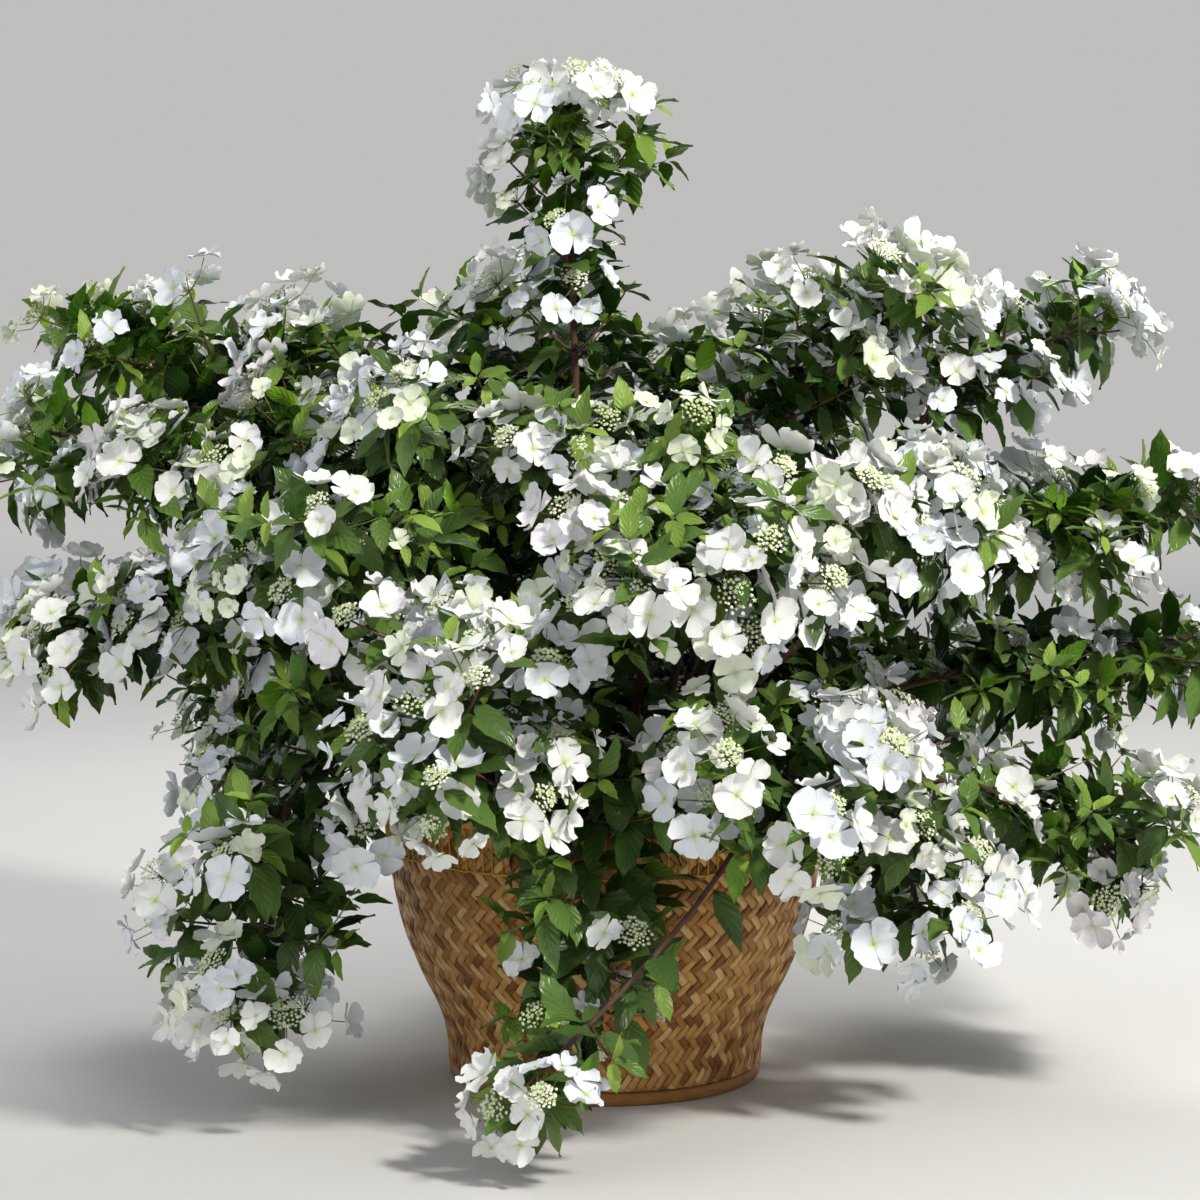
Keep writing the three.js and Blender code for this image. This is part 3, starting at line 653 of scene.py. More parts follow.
class Shoot:
    """A shoot's curve, its leafy stem, the heights between which its twigs end, and how it flowers.

    bearing turns round the axis from +X, arch is the height that the bend aims at, and bare is the share
    without twigs. turn sets its foot off from its tip. twigs are the first and last ones' shares of the
    full length. over and under are the room above its highest and below its lowest point. tip_flowers
    are how freely its last stretch flowers, and how many heads stand round the one at its tip.
    """

    def __init__(self, bearing, reach, tip, arch, bare, turn=0, slender=1, twigs=(1, 1), over=None,
                 under=ROOM_UNDER, flowers=1, tip_flowers=(0.4, 2), ring_open=1, at_back=False):
        self.bare, self.slender, self.ring_open, self.at_back = bare, slender, ring_open, at_back
        self.first_twig, self.last_twig = twigs
        self.flowering, (self.tip_flowering, self.tip_heads) = flowers, tip_flowers
        self.bends = shoot_bends(bearing, reach, tip, arch, turn)
        self.shares = np.linspace(bare, 1, 48)
        self.stem = on_curve(self.bends, self.shares)
        self.lengths = lengths_to(self.stem)
        self.length = self.lengths[-1]
        highest = on_curve(self.bends, np.linspace(0, 1, 48))[:, 2].max()
        if over is None:
            over = ROOM_OVER_RISING if tip > highest - 1 else ROOM_OVER_ARCHING
        self.crest, self.hem = highest + over, self.stem[:, 2].min() - under

    def share_at(self, distance):
        """The share of the curve at a distance along the leafy stem."""
        return float(np.interp(distance, self.lengths, self.shares))

    def at(self, share):
        """The point at a share of the curve, and the way in which the shoot goes there."""
        step = on_curve(self.bends, min(share + 0.004, 1)) - on_curve(self.bends, share - 0.004)
        return on_curve(self.bends, share), unit(step)


# %% The shoots
SHOOTS = {
    "leader": Shoot(140, 52, 985, 750, 0.56, twigs=(0.5, 0.9), flowers=0.65, tip_flowers=(1.6, 3)),
    "right_shoulder": Shoot(354, 295, 805, 700, 0.5, flowers=1.5, tip_flowers=(0.8, 2)),
    "far_right_high": Shoot(14, 535, 785, 650, 0.64, twigs=(0.6, 0.85), flowers=1.4),
    "right_middle": Shoot(2, 585, 590, 545, 0.55, flowers=1.3),
    "right_lower": Shoot(4, 600, 436, 420, 0.55, under=50, flowers=0.8),
    "right_low": Shoot(350, 535, 205, 345, 0.6, twigs=(0.85, 0.85), over=2, flowers=0.6),
    "right_hanging": Shoot(321, 385, 175, 450, 0.48, twigs=(0.75, 0.75), flowers=1.3),
    "front_right_low": Shoot(297, 430, 285, 430, 0.4, flowers=1.2),
    # Over the pot the tufts are nearly bare of large florets
    "front_low": Shoot(268, 300, 95, 455, 0.5, twigs=(0.8, 0.55), flowers=0.6, tip_flowers=(0.9, 2),
                       ring_open=0.2),
    "front_ground": Shoot(258, 440, 68, 375, 0.9, turn=52, slender=0.65, twigs=(0.5, 0.5), over=-210,
                          flowers=0.5),
    "left_low": Shoot(213, 400, 85, 520, 0.42, twigs=(0.75, 0.75), tip_flowers=(1.9, 6)),
    "left_middle": Shoot(187, 560, 450, 520, 0.42, flowers=1.2),
    "front_left": Shoot(221, 445, 530, 600, 0.34, flowers=1.1),
    "far_left": Shoot(181, 570, 650, 630, 0.45),
    "far_left_high": Shoot(163, 572, 760, 665, 0.5),
    "left_high": Shoot(148, 435, 745, 690, 0.45, flowers=0.85),
    "centre_high": Shoot(108, 275, 775, 710, 0.5, flowers=0.7),
    "upper_left": Shoot(214, 255, 690, 640, 0.38, flowers=0.8),
    "upper_front": Shoot(270, 240, 665, 640, 0.36, flowers=0.8),
    "front_centre": Shoot(250, 435, 320, 545, 0.34, flowers=1.9),
    "front_right": Shoot(285, 425, 520, 600, 0.36, flowers=1.5),
    "right_front_high": Shoot(313, 410, 580, 615, 0.34, flowers=1.9),
    "back_left_low": Shoot(145, 505, 270, 430, 0.4, at_back=True),
    "back_low": Shoot(94, 480, 235, 440, 0.4, at_back=True),
    "back_right_low": Shoot(43, 505, 280, 430, 0.4, at_back=True),
    "back_left": Shoot(122, 525, 530, 590, 0.4, at_back=True),
    "back_upper": Shoot(52, 370, 735, 680, 0.42, at_back=True),
    "back_right": Shoot(30, 530, 520, 580, 0.42, at_back=True),
}
shoots = list(SHOOTS.values())
all_stems = np.stack([shoot.stem for shoot in shoots])
for number, shoot in enumerate(shoots):
    shoot.number = number
print("stem length in all, m:", round(sum(shoot.length for shoot in shoots) * MM, 2))

# %% [markdown]
# ### Room
# In a real shrub, twigs grow where light is left. Here a twig stays between the highest and lowest bend of
# its own shoot, off the ground and the basket, and about as near to its own stem as to any other. So the
# clusters keep apart, with gaps between them as in the photo.

# %% Tests for room
cad_low, cad_high = (np.array(corner) / MM for corner in cad_box)
BEYOND_CAD = np.array([24, 16, 8])  # the finest leaves may pass the solids' box by so much
SPACE_SHARED = 40  # how much nearer to another stem a twig may come than to its own
OFF_GROUND, OFF_WALL = 4, 9
MOUTH_LEVEL, MOUTH_RADIUS = 266, 205  # above the soil and inside the rim


def in_reach(points):
    """Whether points stay in the solids' reach, off the ground and the basket."""
    points = np.atleast_2d(points)
    x, y, z = points.T
    radius = np.hypot(x, y)
    inside = ((points > cad_low - BEYOND_CAD) & (points < cad_high + BEYOND_CAD)).all(axis=1)
    off_basket = (z > RIM_HEIGHT + 6) | (radius > wall_radius(z) + OFF_WALL)
    in_mouth = (z > MOUTH_LEVEL) & (radius < MOUTH_RADIUS)
    return bool((inside & (z > OFF_GROUND) & (off_basket | in_mouth)).all())


def has_room(points, shoot, unruly):
    """Whether points are about as near to their own stem as to any other, and between crest and hem."""
    if not in_reach(points) or not shoot.hem - unruly <= points[-1, 2] <= shoot.crest + unruly:
        return False
    gaps = np.linalg.norm(all_stems[:, :, None] - points[None, None], axis=-1).min(axis=1)
    own = gaps[shoot.number].copy()
    gaps[shoot.number] = np.inf
    return bool((own < gaps.min(axis=0) + SPACE_SHARED).all())


CROWN_MIDDLE, CROWN_HALF = np.array([0, 0, 430]), np.array([560, 500, 430])


def depth_in_crown(point):
    """0 in the crown's middle and about 1 at its skin."""
    return float(np.linalg.norm((point - CROWN_MIDDLE) / CROWN_HALF))


# %% [markdown]
# ### Twigs
# A twig is a short bent curve. It leaves its stem sideways, forward and a little up, and its end turns
# towards the light. Leaves stand on it in opposite pairs at every joint. Where it has no room, the rule
# tries a shorter twig or another side, and else leaves it out. Real objects for each leaf would be slow,
# so their places are only noted at first.

# %% Directions off a limb
UP = np.array([0.0, 0.0, 1.0])


def square_to(axis, first, angle=0.0):
    """A direction square to an axis, turned about it from a first direction."""
    side = first - axis * (first @ axis)
    if side @ side < 1e-6:
        side = np.array([1.0, 0, 0]) - axis * axis[0]
    side = unit(side)
    return side * math.cos(angle) + np.cross(axis, side) * math.sin(angle)


def off_limb(along, turn):
    """A direction square to a limb, turned about it from the level one."""
    return square_to(along, np.cross(UP, along) + 1e-3, turn)


# %% Leaves and heads are only noted here and made later
growth = {"twigs": [], "leaves": [], "heads": []}
LEAF_FORWARD, LEAF_RISE = (0.25, 0.6), (-0.25, 0.25)  # how far a leaf points along its limb and up
LEAF_OUTWARD, LEAF_UNEVEN, TONE_UNEVEN = 0.55, 0.28, 0.16  # it faces up and out, but not quite


def note_pair(at, along, angle, size, draw, young):
    """Two opposite leaves at a joint."""
    outward = unit(np.array([at[0], at[1], 60.0]))
    for turn in (0, math.pi):
        side = off_limb(along, angle + turn + draw.uniform(-0.3, 0.3))
        out = unit(side + draw.uniform(*LEAF_FORWARD) * along + draw.uniform(*LEAF_RISE) * UP)
        face = square_to(out, UP + LEAF_OUTWARD * outward + draw.normal(0, LEAF_UNEVEN, 3))
        length = size * draw.uniform(0.85, 1.12)
        if in_reach(np.array([at + out * length, at + out * length * 0.5])):
            growth["leaves"].append((at, out, face, length, young + draw.normal(0, TONE_UNEVEN)))


def level_way(vector):
    """The way in which it points when seen from above."""
    return unit(np.array([vector[0], vector[1], 1e-3]))


WIDEST_TURN = 0.9  # radians between a head's look and its twig
LOOK_UP, OUTER_RADIUS = 0.9, 450  # from that radius on, heads look straight away from the axis


def facing_light(at, along):
    """Which way a flower head looks: up and out, but not far off its twig's own line."""
    from_axis, from_stem = level_way(at), level_way(along)
    off_middle = min(1, math.hypot(at[0], at[1]) / OUTER_RADIUS)
    wanted = unit(from_axis * off_middle + from_stem * (1 - off_middle) + LOOK_UP * UP)
    if math.acos(float(np.clip(wanted @ along, -1, 1))) < WIDEST_TURN:
        return wanted
    return unit(square_to(along, wanted) * math.tan(WIDEST_TURN) + along)


def note_head(at, along, draw, ring_open):
    growth["heads"].append((at, facing_light(at, along), int(draw.integers(1 << 30)), ring_open))


# %% A way for a twig
SHORTER = (1, 0.8, 0.62, 0.46)
TURNED = [math.radians(turn) for turn in (0, 32, -32, 64, -64)]
TWIG_FORWARD, TWIG_LIFT = 0.55, 0.32
FIRST_WAY, LIGHT_WAY, LIGHT_OUTWARD = 0.9, 0.13, 0.5  # how far its end follows its first way and the light


def way_with_room(start, along, length, shoot, turn, unruly):
    """The first way, middle, end and reach that have room, from long to short and to both sides."""
    light = level_way(start) * LIGHT_OUTWARD + UP
    for share in SHORTER:
        reach = length * share
        for off in TURNED:
            way = unit(off_limb(along, turn + off) + TWIG_FORWARD * along + TWIG_LIFT * UP)
            end = start + way * reach * FIRST_WAY + light * reach * LIGHT_WAY
            middle = start + way * reach * 0.5
            if has_room(np.array([middle, end]), shoot, unruly):
                return way, middle, end, reach
    return None


def bent(start, middle, end, share):
    return start * (1 - share) ** 2 + 2 * middle * share * (1 - share) + end * share ** 2


# %% [markdown]
# ### Where it flowers
# The real shrub flowers on short side twigs that reach the light, most of all in the last stretch of a
# shoot. A twig that flowers ends in a head. One that doesn't ends in two small pairs of young leaves.
# Chance decides for each twig, so clusters form where many twigs meet the light.

# %% A twig with its leaves
# Order 2 are twigs on a stem, and order 3 are twigs on those
JOINT_SPACING, FIRST_JOINT, LAST_JOINT = 19, 14, 0.97  # the last one as a share of the twig
LEAF_SIZE, SMALLER_AT_END, NEAR_END = {2: 57, 3: 50}, 12, 26
YOUNG_AND_LIT_SKIN, YOUNG_ALONG, YOUNG_ORDER = 0.75, 0.3, {2: 0, 3: 0.15}  # what makes a leaf's tone young, and lit near the crown's skin
END_PAIRS = [(0, 0.7, 42, 0.75), (3, 2.2, 27, 1.0)]  # how far past the end, turn, leaf size, how young
SHADE_CHANCE, LIT_CHANCE = 0.05, {2: 0.55, 3: 0.16}
LIT_FROM, LIT_OVER = 0.45, 0.28  # how deep in the crown the light starts to count, and over how much
BRANCHES_FROM, BRANCH_CHANCE, BRANCH_LENGTH = 70, 0.42, (48, 78)


def flower_chance(shoot, order, start, end, flush, near_tip):
    """How likely a twig flowers: most of all in the light and near a tip, and less where it hangs."""
    lit = np.clip((depth_in_crown(end) - LIT_FROM) / LIT_OVER, 0, 1) * (1 if end[2] > start[2] - 10 else 0.7)
    chance = SHADE_CHANCE + LIT_CHANCE[order] * lit * flush + shoot.tip_flowering * near_tip
    return chance * shoot.flowering


def note_twig(start, along, length, shoot, draw, order, turn, flush, near_tip=0.0):
    """One twig with its leaves, its own twigs and perhaps blossom, if it has room."""
    found = way_with_room(start, along, length, shoot, turn, draw.normal(0, 14))
    if found is None:
        return
    way, middle, end, reach = found
    points = bent(start, middle, end, np.linspace(0, 1, 5)[:, None])
    growth["twigs"].append((points, order))
    last_way = unit(points[-1] - points[-2])
    skin = depth_in_crown(end)
    blooms = draw.uniform() < flower_chance(shoot, order, start, end, flush, near_tip)
    for k in range(max(1, int((reach - FIRST_JOINT) / JOINT_SPACING))):
        share = (FIRST_JOINT + k * JOINT_SPACING) / reach
        if share > LAST_JOINT:
            break
        at = bent(start, middle, end, share)
        # A leaf's tone is partly its age along the twig and partly painted light: lighter near the crown's
        # skin, and darker inside as painted shade
        young = np.clip(skin - YOUNG_AND_LIT_SKIN, 0, 0.4) + YOUNG_ALONG * share + YOUNG_ORDER[order]
        near_end = reach * (1 - share) < NEAR_END and not blooms
        size = LEAF_SIZE[order] - (SMALLER_AT_END if near_end else 0)
        note_pair(at, unit(way + 0.3 * (last_way - way)), k * math.pi / 2 + turn, size, draw, young)
        if order == 2 and reach > BRANCHES_FROM and 0.2 < share < 0.85 and draw.uniform() < BRANCH_CHANCE:
            note_twig(at, way, draw.uniform(*BRANCH_LENGTH), shoot, draw, 3, draw.uniform(0, 6), flush)
    if blooms:
        note_head(end, last_way, draw, shoot.ring_open)
    else:
        for past, off, size, young in END_PAIRS:
            note_pair(end + last_way * past, last_way, turn + off, size, draw, young)


# %% [markdown]
# ### Along a shoot
# Twigs stand on a shoot in opposite pairs, each turned a quarter from the last. The cane under them has
# leafy joints too. At the back, where shoots are fewer, short twigs on the canes close the view through
# the crown.

# %% Grow every shoot
TWIG_LENGTH, SHORTER_PAIR, FLUSH = 158, 0.72, (0.35, 1.5)  # how richly a pair of twigs flowers
PAIR_SPACING, FIRST_PAIR, LAST_PAIR, PAIR_TWIST = 34, 20, 40, math.radians(40)
STEM_LEAF, BELOW_TIP, TIP_TWIG = 62, 30, 60
TIP_BLOOM = 120  # the last stretch of a shoot, where most twigs flower
CANE_JOINTS = np.arange(0.45, 1, 0.12)  # shares of the bare cane
INNER_TWIGS_FROM, INNER_TWIG_LENGTH = 320, (80, 125)  # height and length of the short twigs at the back


def grow_sides(shoot, draw):
    """Pairs of twigs along the leafy stem."""
    distance, k = FIRST_PAIR, 0
    while distance < shoot.length - LAST_PAIR:
        at, along = shoot.at(shoot.share_at(distance))
        twist = (PAIR_TWIST if k % 4 > 1 else -PAIR_TWIST) + (math.pi / 2 if k % 2 else 0)
        twist += draw.uniform(-0.25, 0.25)
        share = distance / shoot.length
        longest = TWIG_LENGTH * (shoot.first_twig + (shoot.last_twig - shoot.first_twig) * share)
        near_tip = np.clip(1 - (shoot.length - distance) / TIP_BLOOM, 0, 1)
        flush = draw.uniform(*FLUSH)
        for turn in (0, math.pi):
            length = longest * draw.uniform(0.7, 1) * (SHORTER_PAIR if k % 2 else 1)
            note_twig(at, along, length, shoot, draw, 2, twist + turn, flush, near_tip)
        note_pair(at, along, twist + math.pi / 2, STEM_LEAF, draw, 0.1)
        distance += PAIR_SPACING
        k += 1


def grow_inside(shoot, draw):
    """Leafy joints on the upper part of the cane, and short twigs there at the back."""
    for share in CANE_JOINTS * shoot.bare:
        at, along = shoot.at(share)
        # Leaves on the cane take the deep tone: partly older leaves' own colour and partly painted shade
        # inside the crown
        note_pair(at, along, draw.uniform(0, 6), STEM_LEAF, draw, -0.1)
        if shoot.at_back and at[2] > INNER_TWIGS_FROM:
            for turn in (0, math.pi):
                length = draw.uniform(*INNER_TWIG_LENGTH)
                note_twig(at, along, length, shoot, draw, 2, share * 40 + turn, 0.6, 0.5)


def grow_tip(shoot, draw):
    """A shoot ends in a small spray: its own head and others round it, just below."""
    tip, along = shoot.at(1)
    below_tip, _ = shoot.at(shoot.share_at(shoot.length - BELOW_TIP))
    note_pair(below_tip, along, draw.uniform(0, 6), STEM_LEAF, draw, 0.4)
    twist = draw.uniform(0, 6)
    for k in range(shoot.tip_heads):
        turn = twist + k * 2 * math.pi / shoot.tip_heads
        note_twig(below_tip, along, TIP_TWIG, shoot, draw, 3, turn, 2, 1)
    note_head(tip, along, draw, shoot.ring_open)


for shoot in shoots:
    draw = np.random.default_rng(4000 + 977 * shoot.number)
    grow_sides(shoot, draw)
    grow_inside(shoot, draw)
    grow_tip(shoot, draw)
print({kind: len(items) for kind, items in growth.items()})

# %% [markdown]
# ## Bark and twigs
# Old canes are thin, dark red-brown and finely ridged, with a swollen ring at each joint. Real relief on
# the mesh catches the light at the outline, where a bump can't, so the canes' radius varies along and
# round them. Young twigs are smooth and yellow-green.

# %% Bark materials
def bark(name, dark, light, scale):
    material, tree = new_material(name, 0.7)
    grain = place_group(tree, fibres, "UV", Stretch=0.12, Scale=scale)
    patches = place_group(tree, mottle, "Object", Scale=70.0)["Mask"]
    base = blend(tree, grain["Mask"], dark, light)
    patched = blend(tree, patches, base, tuple(min(1, 1.9 * part) for part in light), 0.3)
    spread(tree, grain["Mask"], 0.55, 0.85)
    return painted(material, patched, grain["Height"], 0.0008)


cane_bark = bark("cane_bark", (0.035, 0.014, 0.010), (0.105, 0.045, 0.030), 160.0)
twig_bark = bark("twig_bark", (0.060, 0.022, 0.014), (0.15, 0.070, 0.036), 190.0)
twig_green = bark("twig_green", (0.10, 0.14, 0.022), (0.20, 0.27, 0.055), 120.0)

# %% Canes and stems
CANE_RADII = [5.4, 3.7, 2.2]  # at the soil, where the twigs begin and at the tip
RING_STEP, CANE_SIDES = 8, 8
JOINT_EVERY, JOINT_SWELL, JOINT_HALF, RIDGES = 68, 0.16, 5, 0.055


def cane_heap():
    heap = Heap()
    for shoot in shoots:
        draw = np.random.default_rng(60 + shoot.number)
        length = lengths_to(on_curve(shoot.bends, np.linspace(0, 1, 40)))[-1]
        rings = int(length / RING_STEP)
        share = np.linspace(0, 1, rings)
        radii = shoot.slender * np.interp(share, [0, shoot.bare, 1], CANE_RADII)
        off_joint = JOINT_EVERY / 2 - np.abs((share * length) % JOINT_EVERY - JOINT_EVERY / 2)
        swell = 1 + JOINT_SWELL * np.exp(-(off_joint / JOINT_HALF) ** 2)
        ridges = 1 + RIDGES * np.cos(np.arange(CANE_SIDES) * 2.1 + draw.uniform(0, 6))[None]
        rough = ridges * swell[:, None] * draw.uniform(0.94, 1.05, (rings, CANE_SIDES))
        add_tube(heap, on_curve(shoot.bends, share), radii, CANE_SIDES, rough)
    return heap


cane_piece = joined("canes", cane_heap(), cane_bark)
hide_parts(*cane_nodes)

# %% Side twigs
twig_heaps = {2: Heap(), 3: Heap()}
THICK, THIN_END = {2: 1.7, 3: 1.1}, 0.55
for points, order in growth["twigs"]:
    radii = np.linspace(THICK[order], THIN_END * THICK[order], len(points))
    add_tube(twig_heaps[order], points, radii, 5)
twig_piece = joined("twigs", twig_heaps[2], twig_bark)
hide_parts(*spray_nodes)

# %% [markdown]
# ## Leaves
# A leaf is an oval blade with a drawn-out tip, toothed edges, sunken veins and a fold along its midrib.
# The outline and the fold are geometry, because they show at the crown's edge. The veins are a pattern on
# the blade's own map. Six shapes with different folds and waves are stamped in four tones: deep green inside
# the crown, which is partly older leaves' own colour and partly painted shade, and bright green at its young
# tips and its skin, which is partly young growth and partly painted light.

# %% Leaf shape
LEAF_STATIONS, LEAF_HALF_WIDTH = 10, (0.175, 0.22)
TOOTH_OUT, TOOTH_IN = 1.09, 0.97
FOLD, DROOP, CURL = (0.18, 0.5), (0.06, 0.3), (-0.03, 0.05)


def leaf_shape(draw):
    """A toothed, folded blade of length 1 along x, facing z, on a short stalk."""
    along = np.linspace(0, 1, LEAF_STATIONS)
    half = along ** 0.60 * (1 - along) ** 0.92
    half = half / half.max() * draw.uniform(*LEAF_HALF_WIDTH)
    at_tooth = np.arange(LEAF_STATIONS) % 2
    tooth = np.where(at_tooth, TOOTH_OUT, TOOTH_IN)
    tooth[-1] = 1
    fold, droop, curl = (draw.uniform(*span) for span in (FOLD, DROOP, CURL))
    phase = draw.uniform(0, 6)
    corners, flat_map = [], []
    for side in (-1, 0, 1):
        edge = abs(side)
        lift = edge * half * fold - droop * along ** 2 + edge * curl * np.sin(9 * along + phase + side)
        forward = 0.06 + 0.94 * (along + 0.02 * edge * at_tooth)
        corners.append(np.stack([forward, side * half * tooth, lift], axis=-1))
        flat_map.append(np.stack([along, np.full(LEAF_STATIONS, 0.5 + 0.5 * side)], axis=-1))
    stalk = [[0, -0.008, 0], [0, 0.008, 0], [0.07, 0, 0.012]]
    stalk_face = 3 * LEAF_STATIONS + np.arange(3)
    faces = np.concatenate([grid_faces(3, LEAF_STATIONS)[:, ::-1], [stalk_face]])
    return np.concatenate([*corners, stalk]), faces, np.concatenate([*flat_map, [[0, 0.5]] * 3])


# %% Leaf materials
def leaf_material(name, dark, light, vein, under, roughness):
    material, tree = new_material(name, roughness, Specular_IOR_Level=0.24)
    veins = place_group(tree, ribs, "UV", Count=6.0, Slant=0.3, Midrib=0.08)
    patches = place_group(tree, mottle, "Object", Scale=26.0)["Mask"]
    top = blend(tree, veins["Mask"], blend(tree, patches, dark, light), vein, 0.2)
    seen_from_below = tree.nodes.new("ShaderNodeNewGeometry").outputs["Backfacing"]
    return painted(material, blend(tree, seen_from_below, top, under), veins["Height"], 0.0007, 0.5)


# The blade's two greens, its veins, its underside and its roughness
LEAF_LOOKS = {
    # deep has the colour of leaves in shade: painted shade on the leaves inside the crown
    "deep": ((0.012, 0.040, 0.006), (0.024, 0.068, 0.010), (0.05, 0.12, 0.02), (0.060, 0.11, 0.026), 0.27),
    "mid": ((0.031, 0.092, 0.007), (0.057, 0.142, 0.012), (0.10, 0.21, 0.03), (0.095, 0.17, 0.034), 0.28),
    "light": ((0.078, 0.180, 0.010), (0.126, 0.255, 0.018), (0.19, 0.33, 0.05), (0.155, 0.25, 0.040), 0.31),
    "young": ((0.15, 0.285, 0.018), (0.225, 0.39, 0.032), (0.31, 0.47, 0.10), (0.23, 0.35, 0.055), 0.36),
}
LEAF_TONES = {tone: leaf_material(f"leaf_{tone}", *look) for tone, look in LEAF_LOOKS.items()}

# %% Stamp the leaves
LEAF_KINDS = 6
TONE_LIMITS = [0.32, 0.70, 1.0]  # how young a leaf's tone is, with its painted light and shade, where one tone ends and the next begins


def axes_of(x, z):
    """A matrix whose columns are x, y and z for each pair of rows, with z made square to x."""
    z = unit(z - x * (x * z).sum(axis=1)[:, None])
    return np.stack([x, np.cross(z, x), z], axis=-1)


def stamp_leaves():
    draw = np.random.default_rng(5)
    shapes = [leaf_shape(draw) for _ in range(LEAF_KINDS)]
    heaps = {tone: Heap() for tone in LEAF_TONES}
    starts, outs, faces, lengths, young = map(np.array, zip(*growth["leaves"]))
    tone = np.digitize(young, TONE_LIMITS)
    kind = draw.integers(0, len(shapes), len(starts))
    for t, heap in enumerate(heaps.values()):
        for s, shape in enumerate(shapes):
            chosen = (tone == t) & (kind == s)
            heap.stamp(shape, starts[chosen], axes_of(outs[chosen], faces[chosen]), lengths[chosen])
    return heaps


for tone, heap in stamp_leaves().items():
    joined(f"leaves_{tone}", heap, LEAF_TONES[tone])

# %% [markdown]
# ## Blossom
# A lacecap head has two kinds of flower. In the middle is a flat tuft of tiny cream buds on branching
# stalks. Round it stand a few large florets, each with four broad white petals and a small green eye.
# The petals overlap, cup a little and have soft waves, so each floret is a small mesh with these in it.

# %% Floret shape
PETAL_ALONG = np.array([0.04, 0.32, 0.66, 0.91, 1.0])
PETAL_HALF = np.array([0.05, 0.32, 0.57, 0.50, 0.27])
PETAL_GRID = np.meshgrid(PETAL_ALONG, np.linspace(-1, 1, 5), indexing="ij")


def petal_grid(draw, turn, lift, reach):
    """One petal, from the eye outwards. It cups up or bends back, and its edge is a little scalloped."""
    half = PETAL_HALF * draw.uniform(0.88, 1.12)
    phase, cup = draw.uniform(0, 6), draw.uniform(-0.32, 0.42)
    a, s = PETAL_GRID
    wide = s * half[:, None]
    x = reach * (a - 0.07 * s ** 2 * a + 0.022 * np.sin(8 * s + phase) * a ** 4)
    wave = 0.08 * np.sin(3.0 * s + phase) * a ** 2 + 0.04 * np.sin(7 * s + 2 * phase) * a ** 3
    z = lift * a + cup * a ** 2 + 0.16 * s ** 2 * a + wave
    across, outward = math.cos(turn), math.sin(turn)
    corners = np.stack([x * across - wide * outward, x * outward + wide * across, z], axis=-1)
    return corners, grid_faces(5, 5), np.stack([a, 0.5 + 0.5 * s], axis=-1)


def floret_shape(draw):
    """Four petals. One pair lies over the other and is larger."""
    heap = Heap()
    for k in range(4):
        upper = k % 2
        reach = draw.uniform(0.76, 0.94) + 0.14 * upper
        turn = k * math.pi / 2 + draw.uniform(-0.16, 0.16)
        heap.add(*petal_grid(draw, turn, 0.04 + 0.10 * upper, reach))
    return np.concatenate(heap.corners), np.concatenate(heap.faces), np.concatenate(heap.maps)


# %% Petal materials
def petal_material(name, white, vein, throat):
    # Light comes through a thin petal, and a faint glow stands in for it
    material, tree = new_material(name, 0.5, Sheen_Weight=0.1, Specular_IOR_Level=0.3,
                                  Emission_Color=(0.86, 0.93, 1.0), Emission_Strength=0.055)
    veins = place_group(tree, ribs, "UV", Count=5.0, Slant=0.9, Midrib=0.06)
    patches = place_group(tree, mottle, "Object", Scale=34.0)["Mask"]
    lined = blend(tree, veins["Mask"], blend(tree, patches, white, vein, 0.5), vein, 0.12)
    along = add_node(tree, "SeparateXYZ", {0: place_on(tree, "UV")}).outputs["X"]
    near_eye = maths(tree, "SUBTRACT", 1.0, fade(tree, along, 0.02, 0.34))
    return painted(material, blend(tree, near_eye, lined, throat), veins["Height"], 0.0005, 0.35)


# The petal's white, its veins and its throat
PETAL_LOOKS = {
    "white": ((0.73, 0.75, 0.78), (0.64, 0.68, 0.72), (0.52, 0.64, 0.30)),
    "ivory": ((0.76, 0.76, 0.73), (0.67, 0.68, 0.64), (0.52, 0.62, 0.28)),
    "cream": ((0.72, 0.75, 0.61), (0.62, 0.68, 0.47), (0.42, 0.56, 0.20)),
    "blush": ((0.76, 0.735, 0.75), (0.67, 0.63, 0.66), (0.52, 0.62, 0.32)),
}
PETAL_TONES = {tone: petal_material(f"petal_{tone}", *look) for tone, look in PETAL_LOOKS.items()}

# %% Bud and eye materials
def bud_material(name, dark, light):
    material, tree = new_material(name, 0.6)
    patches = place_group(tree, mottle, "Object", Scale=150.0)
    return painted(material, blend(tree, patches["Mask"], dark, light), patches["Height"], 0.0008)


cream_buds = bud_material("cream_buds", (0.62, 0.64, 0.42), (0.84, 0.83, 0.70))
green_buds = bud_material("green_buds", (0.40, 0.49, 0.20), (0.60, 0.66, 0.38))

# %% Bud and star shapes
def bead(height=0.8):
    """The upper side of a small round bud."""
    sides = 5
    corners = np.concatenate([round_axis(1, full_turn(sides), -0.3), [[0, 0, height]]])
    return corners, np.array([[k, (k + 1) % sides, sides] for k in range(sides)]), corners[:, :2] * 0.02


def star_shape():
    """A tiny open flower with five pointed petals."""
    radius = np.array([1.0, 0.4] * 5)
    corners = np.concatenate([[[0, 0, 0]], round_axis(radius, full_turn(10), 0.25 * radius)])
    faces = np.array([[0, 1 + k, 1 + (k + 1) % 10] for k in range(10)])
    return corners, faces, corners[:, :2] * 0.02


# %% [markdown]
# ### Heads
# Each head has a seed of its own. Its age runs from 0 to 1: a young head is green, closed and small, and
# an old one has a flush of pink. The buds stand in a low dome, each turned from the last by the golden
# angle, which spaces them evenly, and their stalks fork from the twig's end.

# %% A head and its tuft
GREEN_UNTIL = 0.16  # age
DOME_RADIUS, DOME_RISE, DOME_FALL, BUD_COUNT, BUD_TURN = (12, 18), (12, 19), 5.5, (44, 62), 2.39996
BUD_SIZE, STAR_SIZE, STAR_SHARE, STALK_EVERY = (1.3, 2.1), (2.4, 3.6), 0.3, 6
small = {"cream": [], "green": [], "star": [], "eye": []}
stalks = twig_heaps[3]  # they are as green as the finest twigs


